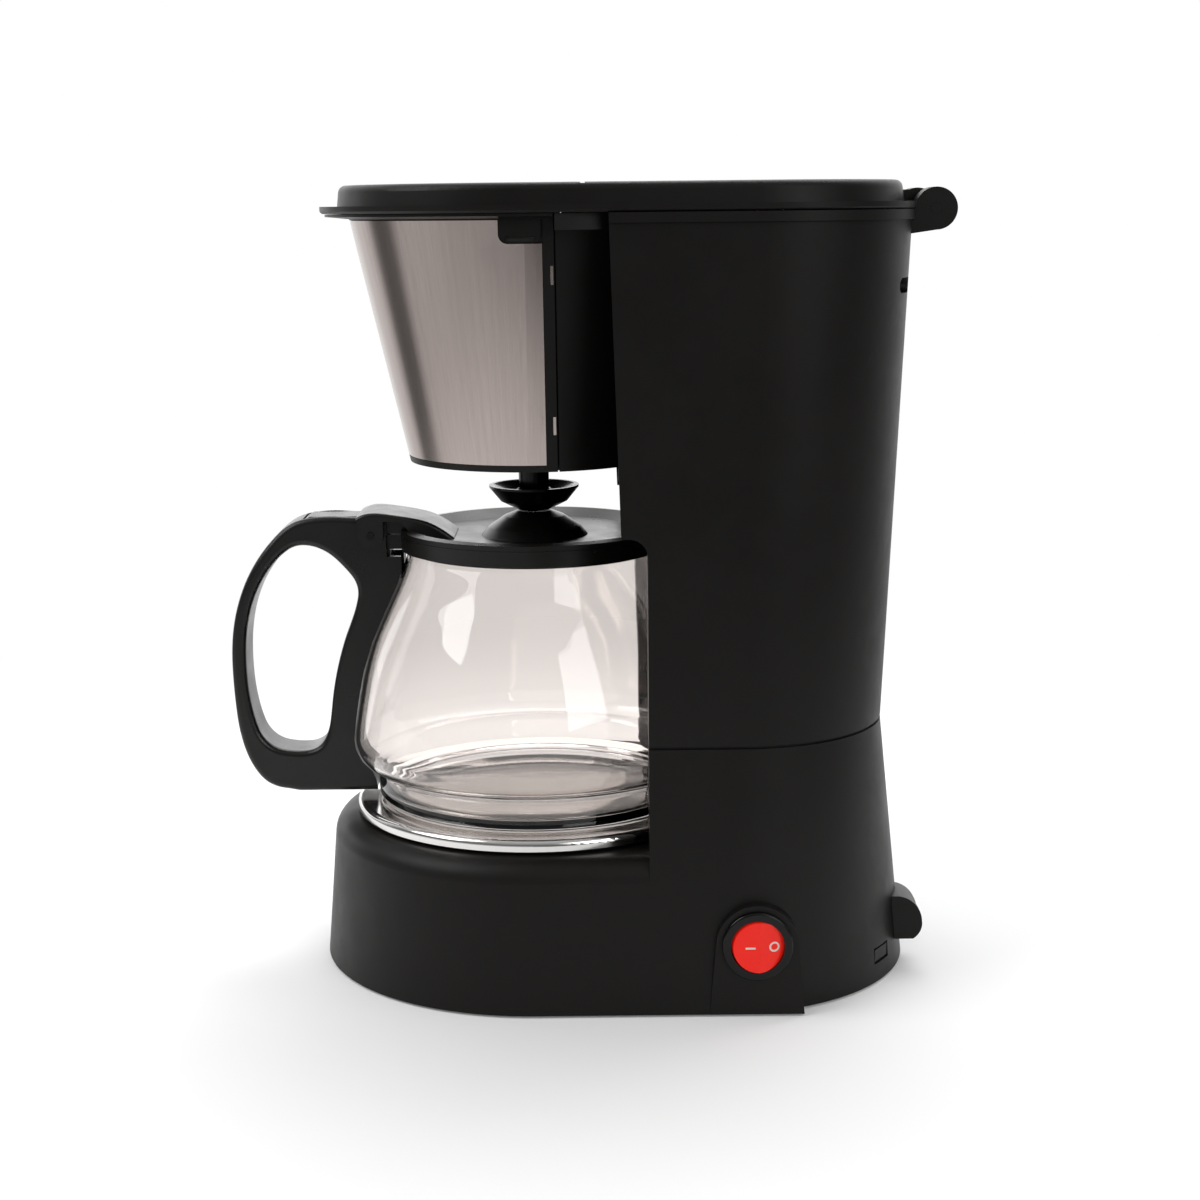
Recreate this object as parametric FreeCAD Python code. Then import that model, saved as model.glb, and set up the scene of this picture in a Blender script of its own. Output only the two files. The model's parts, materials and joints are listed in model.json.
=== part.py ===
import FreeCAD, Part
import math
import os

V = FreeCAD.Vector

# Overall sizes. Everything is drawn about the carafe axis and shifted by SHIFT_Y at the end.
HEIGHT = 270.0
HANDLE_REACH = 107.0
HINGE_REACH = 142.0
SHIFT_Y = (HANDLE_REACH - HINGE_REACH) / 2.0

# Levels that follow the height: the lid above the tower's rim, the rim above its wall
LID_RISE = 9.5
RIM_TOP_Z = HEIGHT - LID_RISE
RIM_H = 3.2
TOWER_TOP_Z = RIM_TOP_Z - RIM_H

# Clearances
GAP_SLIDE = 0.3
GAP_FIT = 0.05
GAP_SWING = 0.5
GAP_REST = 0.2
GAP_PLATE = 0.6

# Reach of the cutting boxes, past any side and past the top
WIDE = 90.0
FAR = 2.0 * HEIGHT

# Base
FOOT_PROUD = 2.0
BASE_BOTTOM_Z = 0.8
BASE_HALF = 76.5
BASE_REAR = 129.0
SEAM_Z = 88.7
SEAM_HALF = 69.0
SEAM_REAR = 119.3
CORNER_R = 50.0
BASE_CORNER_R = 68.0
DECK_Z = 52.0
SHOULDER_R = 8.0
BASE_WALL = 2.5
BAY_R = 69.0
BAY_FRONT_Y = 38.1
BOSS_R = 4.5
FRONT_BOSS_IN = 9.325
FRONT_BOSS_XY = (BASE_HALF - FRONT_BOSS_IN) * math.sqrt(0.5)
REAR_BOSS_SIDE = 24.5
REAR_BOSS_X = BASE_HALF - REAR_BOSS_SIDE
REAR_BOSS_BACK = 27.0
REAR_BOSS_Y = BASE_REAR - REAR_BOSS_BACK
REAR_BOSS_TOP = 40.0
BOSS_RIB_L = 12.0
BOSS_RIB_T = 2.4
SCREW_R = 1.5
SCREW_HEAD_R = 3.2
SCREW_HEAD_T = 1.8
SCREW_LENGTH = 14.0
PLATE_T = 2.5
FOOT_R = 8.0
FOOT_STEM_R = 3.0
FOOT_X = 50.0
FOOT_FRONT_Y = -35.0
FOOT_REAR_Y = 86.0
LATCH_Z = 9.8
LATCH_DEG = 58.0
LATCH_HALF = 5.4
LATCH_H = 5.6
LATCH_DEEP = 1.7
LATCH_SUNK = 0.3
LATCH_SLIT = 0.7
VENT_COUNT = 5
VENT_PITCH = 7.0
VENT_Y = 60.0
VENT_HALF = 18.0
VENT_W = 3.0

# Switch on the +X side
SWITCH_Y = 73.0
SWITCH_Z = 24.5
PANEL_PROUD = 0.2
PANEL_X = BASE_HALF + PANEL_PROUD
PANEL_TOP_HALF = 13.5
PANEL_FOOT_HALF = 15.6
BEZEL_R = 11.6
BEZEL_T = 1.6
SWITCH_BODY_R = 10.0
SWITCH_DEPTH = 17.0
TERMINAL_L = 7.0
TERMINAL_HALF = 2.4
TERMINAL_T = 0.8
TERMINAL_SPREAD = 5.0
ROCKER_R = 8.5
ROCKER_TILT = 9.0
ROCKER_CROWN = 1.0
ROCKER_PIN_R = 1.2
ROCKER_DEPTH = 3.2
ROCKER_PIVOT = 1.0

# Cord inlet at the lower rear
INLET_X = 24.0
INLET_Z = 20.0
INLET_HALF = 10.0
INLET_TOP = 0.55
INLET_PROUD = 6.8
INLET_SIDE = 8.0
INLET_MOUTH = 4.6
INLET_ROOT = 4.0
INLET_FACE = 4.5
INLET_NECK = 6.0
CORD_R = 3.4
CORD_Z = 17.0
BORE_START = 1.2
BORE_RELIEF = 0.6

# Warming plate and heater
PLATE_R = 64.5
PLATE_RISE = 5.0
PLATE_TOP = DECK_Z + PLATE_RISE
PLATE_SHEET = 1.5
PLATE_EDGE_R = 2.0
PLATE_HOVER = 1.2
PLATE_SKIRT_Z = DECK_Z + PLATE_HOVER
DECK_LEDGE = 9.5
DECK_HOLE_R = PLATE_R - DECK_LEDGE
SEAL_IN = 2.5
SEAL_OUT_R = PLATE_R - SEAL_IN
HEATER_R = 36.0
HEATER_TUBE_R = 5.5
HEATER_BORE_R = 3.6
HEATER_OPEN_DEG = 45.0
HEATER_BEND = 9.0
HEATER_TAIL_Z = 34.0
CLAMP_W = 14.0
CLAMP_T = 2.0
CLAMP_REACH = 5.0
CLAMP_HALF = DECK_HOLE_R + CLAMP_REACH
STUD_R = 2.0
NUT_R = 4.0
NUT_T = 3.2
THERMOSTAT_R = 8.0
THERMOSTAT_T = 7.0
THERMOSTAT_X = -24.0
FUSE_R = 2.4
FUSE_L = 24.0
FUSE_X = 24.0
FUSE_LEAD_L = 8.0
FUSE_LEAD_R = 0.6

# Water path
OUTLET_X = 22.0
OUTLET_Y = 90.0
RISER_X = -22.0
RISER_Y = 84.0
RISER_R = 5.0
RISER_BORE_R = 3.6
HOSE_WALL = 1.8
HOSE_RUN_Z = 22.0
HOSE_BEND = 12.0
CLIP_W = 5.0
CLIP_T = 0.8
CLIP_EAR_HALF = 2.2
CLIP_EAR_OUT = 4.5
BALL_R = 3.0
BALL_SEAT_R = 2.0
BALL_CELL_R = 3.9
BALL_CELL_T = 3.0
VALVE_BODY_L = 16.0
GROMMET_R = 8.0
GROMMET_LIP = 1.2
ARM_W = 11.0
ARM_LIFT = 0.8
ARM_Z0 = RIM_TOP_Z + ARM_LIFT
ARM_HEADROOM = 3.4
ARM_Z1 = HEIGHT - ARM_HEADROOM
ARM_WALL = 1.2
SPRAY_R = 15.0
SPRAY_HOLES = 8
SPRAY_HOLE_R = 1.2
SPRAY_RING_R = 9.0

# Tower
TOWER_TOP_HALF = 70.0
TOWER_TOP_REAR = 127.3
RIM_PROUD = 1.0
RIM_HALF = TOWER_TOP_HALF + RIM_PROUD
RIM_REAR = TOWER_TOP_REAR + RIM_PROUD
TOWER_WALL = 2.4
TANK_FLOOR_T = 2.6
SEAM_LIP = 4.0
NOTCH_Z = 158.0
NOTCH_R = 6.0
WALL_FRONT_LOW = 29.7
WALL_FRONT_TOP = 26.4
SEAM_GROOVE = 0.8
OVERFLOW_X0 = 30.0
OVERFLOW_X1 = 40.0
OVERFLOW_DROP = 24.5
OVERFLOW_Z = RIM_TOP_Z - OVERFLOW_DROP
OVERFLOW_R = 2.5

# Brew head
HEAD_TOP_R = 61.0
HEAD_BOTTOM_R = 42.7
HEAD_BOTTOM_Z = 176.5
PART_Y = 9.8
SKIN_T = 0.6
SKIN_END_Y = 5.6
SKIN_BOTTOM_Z = 178.6
HOLDER_WALL = 2.4
HOLDER_RIM_IN = 1.5
HOLDER_RIM_R = RIM_HALF - HOLDER_RIM_IN
HOLDER_RIM_T = 1.6
HOLDER_RIM_Z = RIM_TOP_Z - HOLDER_RIM_T
SKIN_TOP_Z = HOLDER_RIM_Z - GAP_SLIDE
HOLDER_FLOOR = 2.6
CUP_INSET = 4.0
SWING_OUT = 3.5
SWING_X = -HEAD_TOP_R - SWING_OUT
SWING_PIN_R = 1.5
KNUCKLE_R = 3.6
KNUCKLE_DROP = 4.8
KNUCKLE_Z1 = TOWER_TOP_Z - KNUCKLE_DROP
KNUCKLE_H = 28.5
KNUCKLE_Z0 = KNUCKLE_Z1 - KNUCKLE_H
LUG_T = 6.0
SWING_SWEEP_R = 12.0
TAB_Y0 = -7.8
TAB_Y1 = 5.4
TAB_H = 7.5
TAB_Z0 = HOLDER_RIM_Z - TAB_H
TAB_OUT = 5.0
TAB_ROOT = 8.0
TAB_EDGE = 0.4
TAB_CORNER_R = 3.0
TAB_CHEEK = 2.2
TAB_SCOOP_R = 2.6
SKIN_TAB_H = 6.0
SKIN_TAB_DEEP = 0.9
SKIN_TAB_SHOW = 0.9
SKIN_TAB_RISE = 13.4
SKIN_TAB_LOW_Z = SKIN_BOTTOM_Z + SKIN_TAB_RISE
SKIN_TAB_DROP = 17.6
SKIN_TAB_HIGH_Z = SKIN_TOP_Z - SKIN_TAB_DROP

# Filter and drip valve
FILTER_WALL = 1.6
FILTER_FLOOR_Z = 195.0
FILTER_DROP = 1.3
FILTER_RIM_Z = TOWER_TOP_Z - FILTER_DROP
FILTER_GAP = 1.2
MESH_T = 0.4
WINDOW_COUNT = 6
WINDOW_HALF = 9.0
WINDOW_LOW = 10.0
WINDOW_HIGH = 12.0
FILTER_LEG_R = 24.0
DRAIN_HOLES = 8
DRAIN_HOLE_R = 2.0
DRAIN_RING_R = 20.0
LEG_SLOT_HALF = 4.0
LEG_SLOT_DROP = 6.0
STEM_R = 4.0
VALVE_HOLE_R = 4.4
VALVE_HEAD_R = 8.0
VALVE_SEAL_T = 1.2
VALVE_HEAD_T = 2.4
VALVE_LIFT = 3.0
DISH_R = 15.7
DISH_RIM_Z = 167.0
DISH_LOW_Z = 158.3
DISH_LOW_R = 5.5
DISH_NECK_R = 5.3
SPRING_R = 6.0
SPRING_WIRE = 0.7

# Lid
LID_PROUD = 0.2
LID_FLANGE_HALF = RIM_HALF + LID_PROUD
LID_OVERHANG = 0.3
LID_FLANGE_REAR = RIM_REAR + LID_OVERHANG
LID_FLANGE_T = 2.4
LID_SHELF = 6.7
LID_TOP_HALF = LID_FLANGE_HALF - LID_SHELF
LID_REAR_SHELF = 4.1
LID_TOP_REAR = LID_FLANGE_REAR - LID_REAR_SHELF
LID_WALL = 2.2
LID_EDGE_R = 2.5
LID_GROOVE_Y = 18.5
LID_GROOVE_W = 1.6
LID_GROOVE_D = 0.4
EAR_R = 7.0
LID_PIN_Y = HINGE_REACH - EAR_R
LID_PIN_RISE = 0.1
LID_PIN_Z = RIM_TOP_Z + LID_PIN_RISE
LID_PIN_R = 1.8
EAR_X0 = 16.0
EAR_X1 = 26.0

# Carafe
GLASS_T = 2.2
GLASS_PROFILE = [(55.0, 57.2), (57.0, 59.0), (57.5, 63.0), (58.8, 66.2), (62.2, 69.6),
                 (64.4, 74.0), (64.8, 78.0), (64.0, 85.0), (62.6, 93.5), (60.6, 103.0),
                 (57.4, 113.0), (52.6, 124.0), (48.0, 134.0), (45.2, 142.0)]
GLASS_INNER = [(51.0, 60.4), (54.4, 62.0), (55.4, 66.6), (59.2, 70.6),
               (62.0, 75.0), (62.5, 79.0), (61.8, 85.4)]
NECK_R = 44.2
NECK_TOP_Z = 150.4
COLLAR_Z0 = 145.2
COLLAR_Z1 = 150.6
COLLAR_T = 2.6
CARAFE_LID_R = 46.8
CARAFE_LID_RIM_Z = 152.8
DISH_Z = 149.4
DOME_R = 18.7
DOME_TOP_R = 6.0
DOME_TOP_Z = 158.0
CARAFE_LID_T = 1.8
CARAFE_PIN_Y = -56.5
CARAFE_PIN_Z = 151.2
CARAFE_PIN_R = 1.3
CARAFE_PIN_PROUD = 0.5
TAIL_HALF = 12.6
TAIL_T = 2.6
TAIL_PROFILE = [(-61.4, 157.4), (-58.6, 158.6), (-50.0, 158.5), (-42.3, 157.2), (-35.8, 155.4),
                (-31.0, 152.7), (-27.6, 150.2)]
TAIL_UNDER_Z = TAIL_PROFILE[1][1] - TAIL_T
TAIL_EDGE_R = 1.2
TAIL_EAR_T = 3.2
TAIL_EAR_R = 4.4
HINGE_BOSS_R = 4.2
HANDLE_HALF = 9.0
HANDLE_EDGE_R = 2.0
HANDLE_GAP = 0.5
HANDLE_SCREW_Z = 140.5
HANDLE_SCREW_R = 2.0
HANDLE_TAB_T = 2.0
LEVER_HALF = 6.5
SKIRT_Z = 144.0
COLLAR_TAB_Y = 52.5
COLLAR_TAB_HALF = 6.0
SCREW_SEAT_Y = -60.0
LEVER_END_Y = -80.0
LEVER_TOP = 157.2
LEVER_T = 3.2
HANDLE_OUTER = [(-58.0, 157.0), (-76.0, 157.2), (-84.0, 155.2), (-91.0, 149.6), (-98.9, 139.0),
                (-104.0, 127.0), (-106.4, 116.0), (-HANDLE_REACH, 104.0), (-106.3, 89.0), (-104.2, 76.0),
                (-100.0, 66.4), (-93.5, 60.8), (-86.0, 59.2), (-76.0, 59.0)]
HANDLE_PULL = 10.0
HANDLE_ROOT_Y = 40.0
HANDLE_HOLE = [(-80.5, 147.3), (-72.7, 145.0), (-66.3, 139.2), (-62.3, 133.0), (-62.8, 125.5),
               (-65.9, 117.0), (-69.4, 106.0), (-71.8, 95.0), (-73.3, 84.0), (-77.5, 75.2),
               (-86.0, 73.6), (-95.0, 76.6), (-99.8, 86.0), (-101.6, 98.0), (-101.9, 110.0),
               (-100.4, 122.0), (-96.4, 133.0), (-90.0, 142.2)]


def cyl(r, z0, z1, x=0.0, y=0.0):
    return Part.makeCylinder(r, z1 - z0, V(x, y, z0))


def rod(p, q, r):
    a, b = V(*p), V(*q)
    return Part.makeCylinder(r, (b - a).Length, a, b - a)


def box(x0, x1, y0, y1, z0, z1):
    return Part.makeBox(x1 - x0, y1 - y0, z1 - z0, V(x0, y0, z0))


def join(shapes):
    first, rest = shapes[0], list(shapes[1:])
    return first.multiFuse(rest).removeSplitter() if rest else first


def oval(half, rear, corner, z):
    k = corner * math.sqrt(0.5)
    cx, cy = half - corner, rear - corner
    edges = [
        Part.Arc(V(half, 0, z), V(0, -half, z), V(-half, 0, z)).toShape(),
        Part.LineSegment(V(-half, 0, z), V(-half, cy, z)).toShape(),
        Part.Arc(V(-half, cy, z), V(-cx - k, cy + k, z), V(-cx, rear, z)).toShape(),
        Part.LineSegment(V(-cx, rear, z), V(cx, rear, z)).toShape(),
        Part.Arc(V(cx, rear, z), V(cx + k, cy + k, z), V(half, cy, z)).toShape(),
        Part.LineSegment(V(half, cy, z), V(half, 0, z)).toShape(),
    ]
    return Part.Wire(edges)


def oval_body(low, high):
    return Part.makeLoft([oval(*low), oval(*high)], True, True)


def turned(points, angle=360.0):
    wire = Part.makePolygon([V(r, 0, z) for r, z in points] + [V(points[0][0], 0, points[0][1])])
    return Part.Face(wire).revolve(V(0, 0, 0), V(0, 0, 1), angle)


def side_profile(edges_wire, x0, x1):
    face = Part.Face(edges_wire)
    face.translate(V(x0, 0, 0))
    return face.extrude(V(x1 - x0, 0, 0))


def polygon_yz(points, x0, x1):
    wire = Part.makePolygon([V(0, y, z) for y, z in points] + [V(0, points[0][0], points[0][1])])
    return side_profile(wire, x0, x1)


def bent_path(points, bend):
    edges = []
    pts = [V(*p) for p in points]
    start = pts[0]
    for i in range(1, len(pts) - 1):
        a = (pts[i - 1] - pts[i]).normalize()
        b = (pts[i + 1] - pts[i]).normalize()
        half = a.getAngle(b) / 2.0
        back = bend / math.tan(half)
        p0, p1 = pts[i] + a * back, pts[i] + b * back
        centre = pts[i] + (a + b).normalize() * (bend / math.sin(half))
        mid = centre + (pts[i] - centre).normalize() * bend
        edges.append(Part.LineSegment(start, p0).toShape())
        edges.append(Part.Arc(p0, mid, p1).toShape())
        start = p1
    edges.append(Part.LineSegment(start, pts[-1]).toShape())
    return Part.Wire(edges)


def pipe(points, bend, r):
    path = bent_path(points, bend)
    start = V(*points[0])
    ring = Part.Wire([Part.makeCircle(r, start, V(*points[1]) - start)])
    return path.makePipeShell([ring], True, True)


def tube(points, bend, r_out, r_in):
    return pipe(points, bend, r_out).cut(pipe(points, bend, r_in))


def cone_r(z):
    return HEAD_BOTTOM_R + (HEAD_TOP_R - HEAD_BOTTOM_R) * (z - HEAD_BOTTOM_Z) / (TOWER_TOP_Z - HEAD_BOTTOM_Z)


def cone(inset, z0, z1):
    return Part.makeCone(cone_r(z0) - inset, cone_r(z1) - inset, z1 - z0, V(0, 0, z0))


def shrink(low, wall, z):
    half, rear, corner, _ = low
    return (half - wall, rear - wall, corner - wall, z)


def base_at(z):
    t = (z - FOOT_PROUD) / (SEAM_Z - FOOT_PROUD)
    corner = BASE_CORNER_R + (CORNER_R - BASE_CORNER_R) * t
    return (BASE_HALF + (SEAM_HALF - BASE_HALF) * t, BASE_REAR + (SEAM_REAR - BASE_REAR) * t, corner, z)


def tower_at(z):
    t = (z - SEAM_Z) / (TOWER_TOP_Z - SEAM_Z)
    half = SEAM_HALF + (TOWER_TOP_HALF - SEAM_HALF) * t
    return (half, SEAM_REAR + (TOWER_TOP_REAR - SEAM_REAR) * t, CORNER_R, z)


def bay_cut(offset, z0, z1):
    far = -3.0 * BAY_R
    low, top = WALL_FRONT_LOW + offset, WALL_FRONT_TOP + offset
    front, notch = BAY_FRONT_Y + offset, NOTCH_Z + offset
    k = NOTCH_R * (1.0 - math.sqrt(0.5))
    pts = [V(0, far, z0), V(0, front, z0)]
    edges = [Part.LineSegment(pts[0], pts[1]).toShape()]
    if z1 <= notch:
        tail = [V(0, front, z1), V(0, far, z1)]
        last = pts[1]
    else:
        a, b = V(0, front, notch - NOTCH_R), V(0, front - NOTCH_R, notch)
        edges.append(Part.LineSegment(pts[1], a).toShape())
        edges.append(Part.Arc(a, V(0, front - k, notch - k), b).toShape())
        tail = [V(0, low, notch), V(0, top, z1), V(0, far, z1)]
        last = b
    for p in tail + [pts[0]]:
        edges.append(Part.LineSegment(last, p).toShape())
        last = p
    profile = side_profile(Part.Wire(edges), -2.0 * BAY_R, 2.0 * BAY_R)
    return profile.fuse(cyl(BAY_R + offset, z0, z1))


def bosses():
    return [(s * FRONT_BOSS_XY, -FRONT_BOSS_XY) for s in (1, -1)] + [(s * REAR_BOSS_X, REAR_BOSS_Y)
            for s in (1, -1)]


def feet_places():
    return [(s * FOOT_X, y) for s in (1, -1) for y in (FOOT_FRONT_Y, FOOT_REAR_Y)]


def base_housing():
    low = oval_body(base_at(BASE_BOTTOM_Z), base_at(DECK_Z))
    low = low.makeFillet(SHOULDER_R, [e for e in low.Edges if abs(e.BoundBox.ZMin - DECK_Z) < 1e-6])
    column = oval_body(base_at(BASE_BOTTOM_Z),
                       base_at(SEAM_Z)).cut(bay_cut(0.0, DECK_Z - 12.0, SEAM_Z + 1.0))
    inner_low = oval_body(shrink(base_at(BASE_BOTTOM_Z), BASE_WALL, BASE_BOTTOM_Z - 0.1),
                          shrink(base_at(DECK_Z), BASE_WALL, DECK_Z - BASE_WALL))
    inner_low = inner_low.makeFillet(SHOULDER_R - BASE_WALL, [
        e for e in inner_low.Edges if abs(e.BoundBox.ZMin - DECK_Z + BASE_WALL) < 1e-6])
    inner_column = oval_body(shrink(base_at(BASE_BOTTOM_Z), BASE_WALL, BASE_BOTTOM_Z - 0.1),
                             shrink(base_at(SEAM_Z), BASE_WALL, SEAM_Z + 0.1))
    inner_column = inner_column.cut(bay_cut(BASE_WALL, DECK_Z - 20.0, SEAM_Z + 1.0))
    arch = PANEL_TOP_HALF
    wire = Part.Wire([
        Part.LineSegment(V(0, SWITCH_Y - PANEL_FOOT_HALF, BASE_BOTTOM_Z),
                         V(0, SWITCH_Y - arch, SWITCH_Z)).toShape(),
        Part.Arc(V(0, SWITCH_Y - arch, SWITCH_Z), V(0, SWITCH_Y, SWITCH_Z + arch),
                 V(0, SWITCH_Y + arch, SWITCH_Z)).toShape(),
        Part.LineSegment(V(0, SWITCH_Y + arch, SWITCH_Z),
                         V(0, SWITCH_Y + PANEL_FOOT_HALF, BASE_BOTTOM_Z)).toShape(),
        Part.LineSegment(V(0, SWITCH_Y + PANEL_FOOT_HALF, BASE_BOTTOM_Z),
                         V(0, SWITCH_Y - PANEL_FOOT_HALF, BASE_BOTTOM_Z)).toShape(),
    ])
    panel = side_profile(wire, PANEL_X - 8.0, PANEL_X)
    pocket = side_profile(wire.makeOffset2D(-BASE_WALL), PANEL_X - 12.0, PANEL_X - BASE_WALL)
    outer = join([low, column, panel])
    shell = outer.cut(inner_low).cut(inner_column).cut(pocket)
    shell = shell.cut(cyl(DECK_HOLE_R, DECK_Z - 10.0, DECK_Z + 1.0))
    posts = [cyl(BOSS_R, FOOT_PROUD + PLATE_T, DECK_Z - SHOULDER_R, x, y) for x, y in bosses()[:2]]
    posts += [cyl(BOSS_R, FOOT_PROUD + PLATE_T, REAR_BOSS_TOP, x, y) for x, y in bosses()[2:]]
    for x, y in bosses()[2:]:
        rib = box(0.0, BOSS_RIB_L, -BOSS_RIB_T / 2.0, BOSS_RIB_T / 2.0, FOOT_PROUD + PLATE_T, REAR_BOSS_TOP)
        rib.rotate(V(0, 0, 0), V(0, 0, 1), 45.0 if x > 0 else 135.0)
        rib.translate(V(x, y, 0))
        posts.append(rib)
    limit = oval_body(shrink(base_at(FOOT_PROUD), 1.0, FOOT_PROUD), shrink(base_at(SEAM_Z), 1.0, SEAM_Z))
    shell = join([shell] + [p.common(limit) for p in posts])
    for x, y in bosses():
        shell = shell.cut(cyl(SCREW_R + GAP_FIT, FOOT_PROUD, FOOT_PROUD + SCREW_LENGTH + 3.0, x, y))
    hole = rod((PANEL_X - 14.0, SWITCH_Y, SWITCH_Z), (PANEL_X + 1.0, SWITCH_Y, SWITCH_Z),
               SWITCH_BODY_R + GAP_SLIDE)
    shell = shell.cut(hole)
    half, rear, corner, _ = base_at(LATCH_Z)
    a = math.radians(LATCH_DEG)
    pocket = box(-LATCH_DEEP, 5.0, -LATCH_HALF, LATCH_HALF, -LATCH_H / 2.0, LATCH_H / 2.0)
    pocket = pocket.cut(box(-LATCH_DEEP, -LATCH_SUNK, LATCH_SLIT - LATCH_HALF, LATCH_HALF - LATCH_SLIT,
                            LATCH_SLIT - LATCH_H / 2.0, LATCH_H / 2.0 - LATCH_SLIT))
    pocket.rotate(V(0, 0, 0), V(0, 0, 1), LATCH_DEG)
    pocket.translate(V(half - corner + corner * math.cos(a), rear - corner + corner * math.sin(a), LATCH_Z))
    shell = shell.cut(pocket)
    rear = base_at(INLET_Z)[1]
    shell = shell.cut(rod((INLET_X, rear - 8.0, CORD_Z), (INLET_X, rear + 3.0, CORD_Z), CORD_R + 2.0))
    return shell


def base_plate():
    plate = oval_body(shrink(base_at(FOOT_PROUD), BASE_WALL + GAP_PLATE, FOOT_PROUD),
                      shrink(base_at(FOOT_PROUD + PLATE_T), BASE_WALL + GAP_PLATE, FOOT_PROUD + PLATE_T))
    for x, y in bosses():
        plate = plate.cut(cyl(SCREW_R + GAP_SLIDE, 0.0, 10.0, x, y))
        plate = plate.cut(cyl(SCREW_HEAD_R + GAP_SLIDE, 0.0, FOOT_PROUD + PLATE_T - 1.0, x, y))
    for x, y in feet_places():
        plate = plate.cut(cyl(FOOT_STEM_R + GAP_FIT, 0.0, 10.0, x, y))
    for i in range(VENT_COUNT):
        y = VENT_Y + (i - (VENT_COUNT - 1) / 2.0) * VENT_PITCH
        plate = plate.cut(box(-VENT_HALF, VENT_HALF, y - VENT_W / 2.0, y + VENT_W / 2.0, 0.0, 10.0))
    return plate


def base_screws():
    seat = FOOT_PROUD + PLATE_T - 1.0
    return Part.makeCompound([
        join([cyl(SCREW_R, seat - SCREW_HEAD_T, seat - SCREW_HEAD_T + SCREW_LENGTH, x, y),
              cyl(SCREW_HEAD_R, seat - SCREW_HEAD_T, seat, x, y)]) for x, y in bosses()])


def feet():
    return Part.makeCompound([
        join([Part.makeCone(FOOT_R - 0.8, FOOT_R, FOOT_PROUD, V(x, y, 0)),
              cyl(FOOT_STEM_R, FOOT_PROUD - 0.5, FOOT_PROUD + PLATE_T + 1.5, x, y)]) for x,
                              y in feet_places()])


def switch_body():
    x1 = PANEL_X + BEZEL_T
    bezel = rod((PANEL_X, SWITCH_Y, SWITCH_Z), (x1, SWITCH_Y, SWITCH_Z), BEZEL_R)
    bezel = bezel.makeFillet(0.7, [e for e in bezel.Edges if abs(e.BoundBox.XMin - x1) < 1e-6])
    body = rod((PANEL_X - SWITCH_DEPTH, SWITCH_Y, SWITCH_Z), (PANEL_X + 0.5, SWITCH_Y, SWITCH_Z),
               SWITCH_BODY_R)
    floor_x = PANEL_X - ROCKER_DEPTH - 2.0
    well = rod((floor_x, SWITCH_Y, SWITCH_Z), (x1 + 1.0, SWITCH_Y, SWITCH_Z), ROCKER_R + GAP_SLIDE)
    axle_x = PANEL_X - ROCKER_PIVOT
    pins = rod((axle_x, SWITCH_Y, SWITCH_Z - SWITCH_BODY_R + 0.4),
               (axle_x, SWITCH_Y, SWITCH_Z + SWITCH_BODY_R - 0.4), ROCKER_PIN_R + GAP_FIT)
    return join([bezel, body]).cut(well).cut(pins)


def switch_rocker():
    axle_x = PANEL_X - ROCKER_PIVOT
    face_x = PANEL_X + BEZEL_T + ROCKER_CROWN
    disc = rod((axle_x - ROCKER_DEPTH + ROCKER_PIVOT, SWITCH_Y, SWITCH_Z), (face_x, SWITCH_Y, SWITCH_Z),
               ROCKER_R)
    reach = ROCKER_R + 2.0
    angle = math.radians(ROCKER_TILT)
    wedges = []
    for s in (1, -1):
        rise = reach * math.tan(angle)
        wire = Part.makePolygon([V(face_x, SWITCH_Y, 0), V(face_x - rise, SWITCH_Y + s * reach, 0),
                                 V(face_x + 5, SWITCH_Y + s * reach, 0), V(face_x + 5, SWITCH_Y, 0),
                                 V(face_x, SWITCH_Y, 0)])
        wedges.append(Part.Face(wire).extrude(V(0, 0, 100)).translated(V(0, 0, -20)))
        low = axle_x - ROCKER_DEPTH + ROCKER_PIVOT
        wire = Part.makePolygon([V(low, SWITCH_Y, 0), V(low + rise, SWITCH_Y + s * reach, 0),
                                 V(low - 5, SWITCH_Y + s * reach, 0), V(low - 5, SWITCH_Y, 0),
                                 V(low, SWITCH_Y, 0)])
        wedges.append(Part.Face(wire).extrude(V(0, 0, 100)).translated(V(0, 0, -20)))
    for w in wedges:
        disc = disc.cut(w)
    pin = rod((axle_x, SWITCH_Y, SWITCH_Z - SWITCH_BODY_R + 0.8),
              (axle_x, SWITCH_Y, SWITCH_Z + SWITCH_BODY_R - 0.8),
              ROCKER_PIN_R)
    rocker = join([disc, pin])
    rocker.rotate(V(axle_x, SWITCH_Y, SWITCH_Z), V(0, 0, 1), ROCKER_TILT)
    return rocker


def switch_terminals():
    x1 = PANEL_X - SWITCH_DEPTH
    t = TERMINAL_T / 2.0
    middles = (SWITCH_Y - TERMINAL_SPREAD, SWITCH_Y + TERMINAL_SPREAD)
    return Part.makeCompound([box(x1 - TERMINAL_L, x1, y - TERMINAL_HALF, y + TERMINAL_HALF, SWITCH_Z - t,
                                  SWITCH_Z + t)
                              for y in middles])


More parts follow.
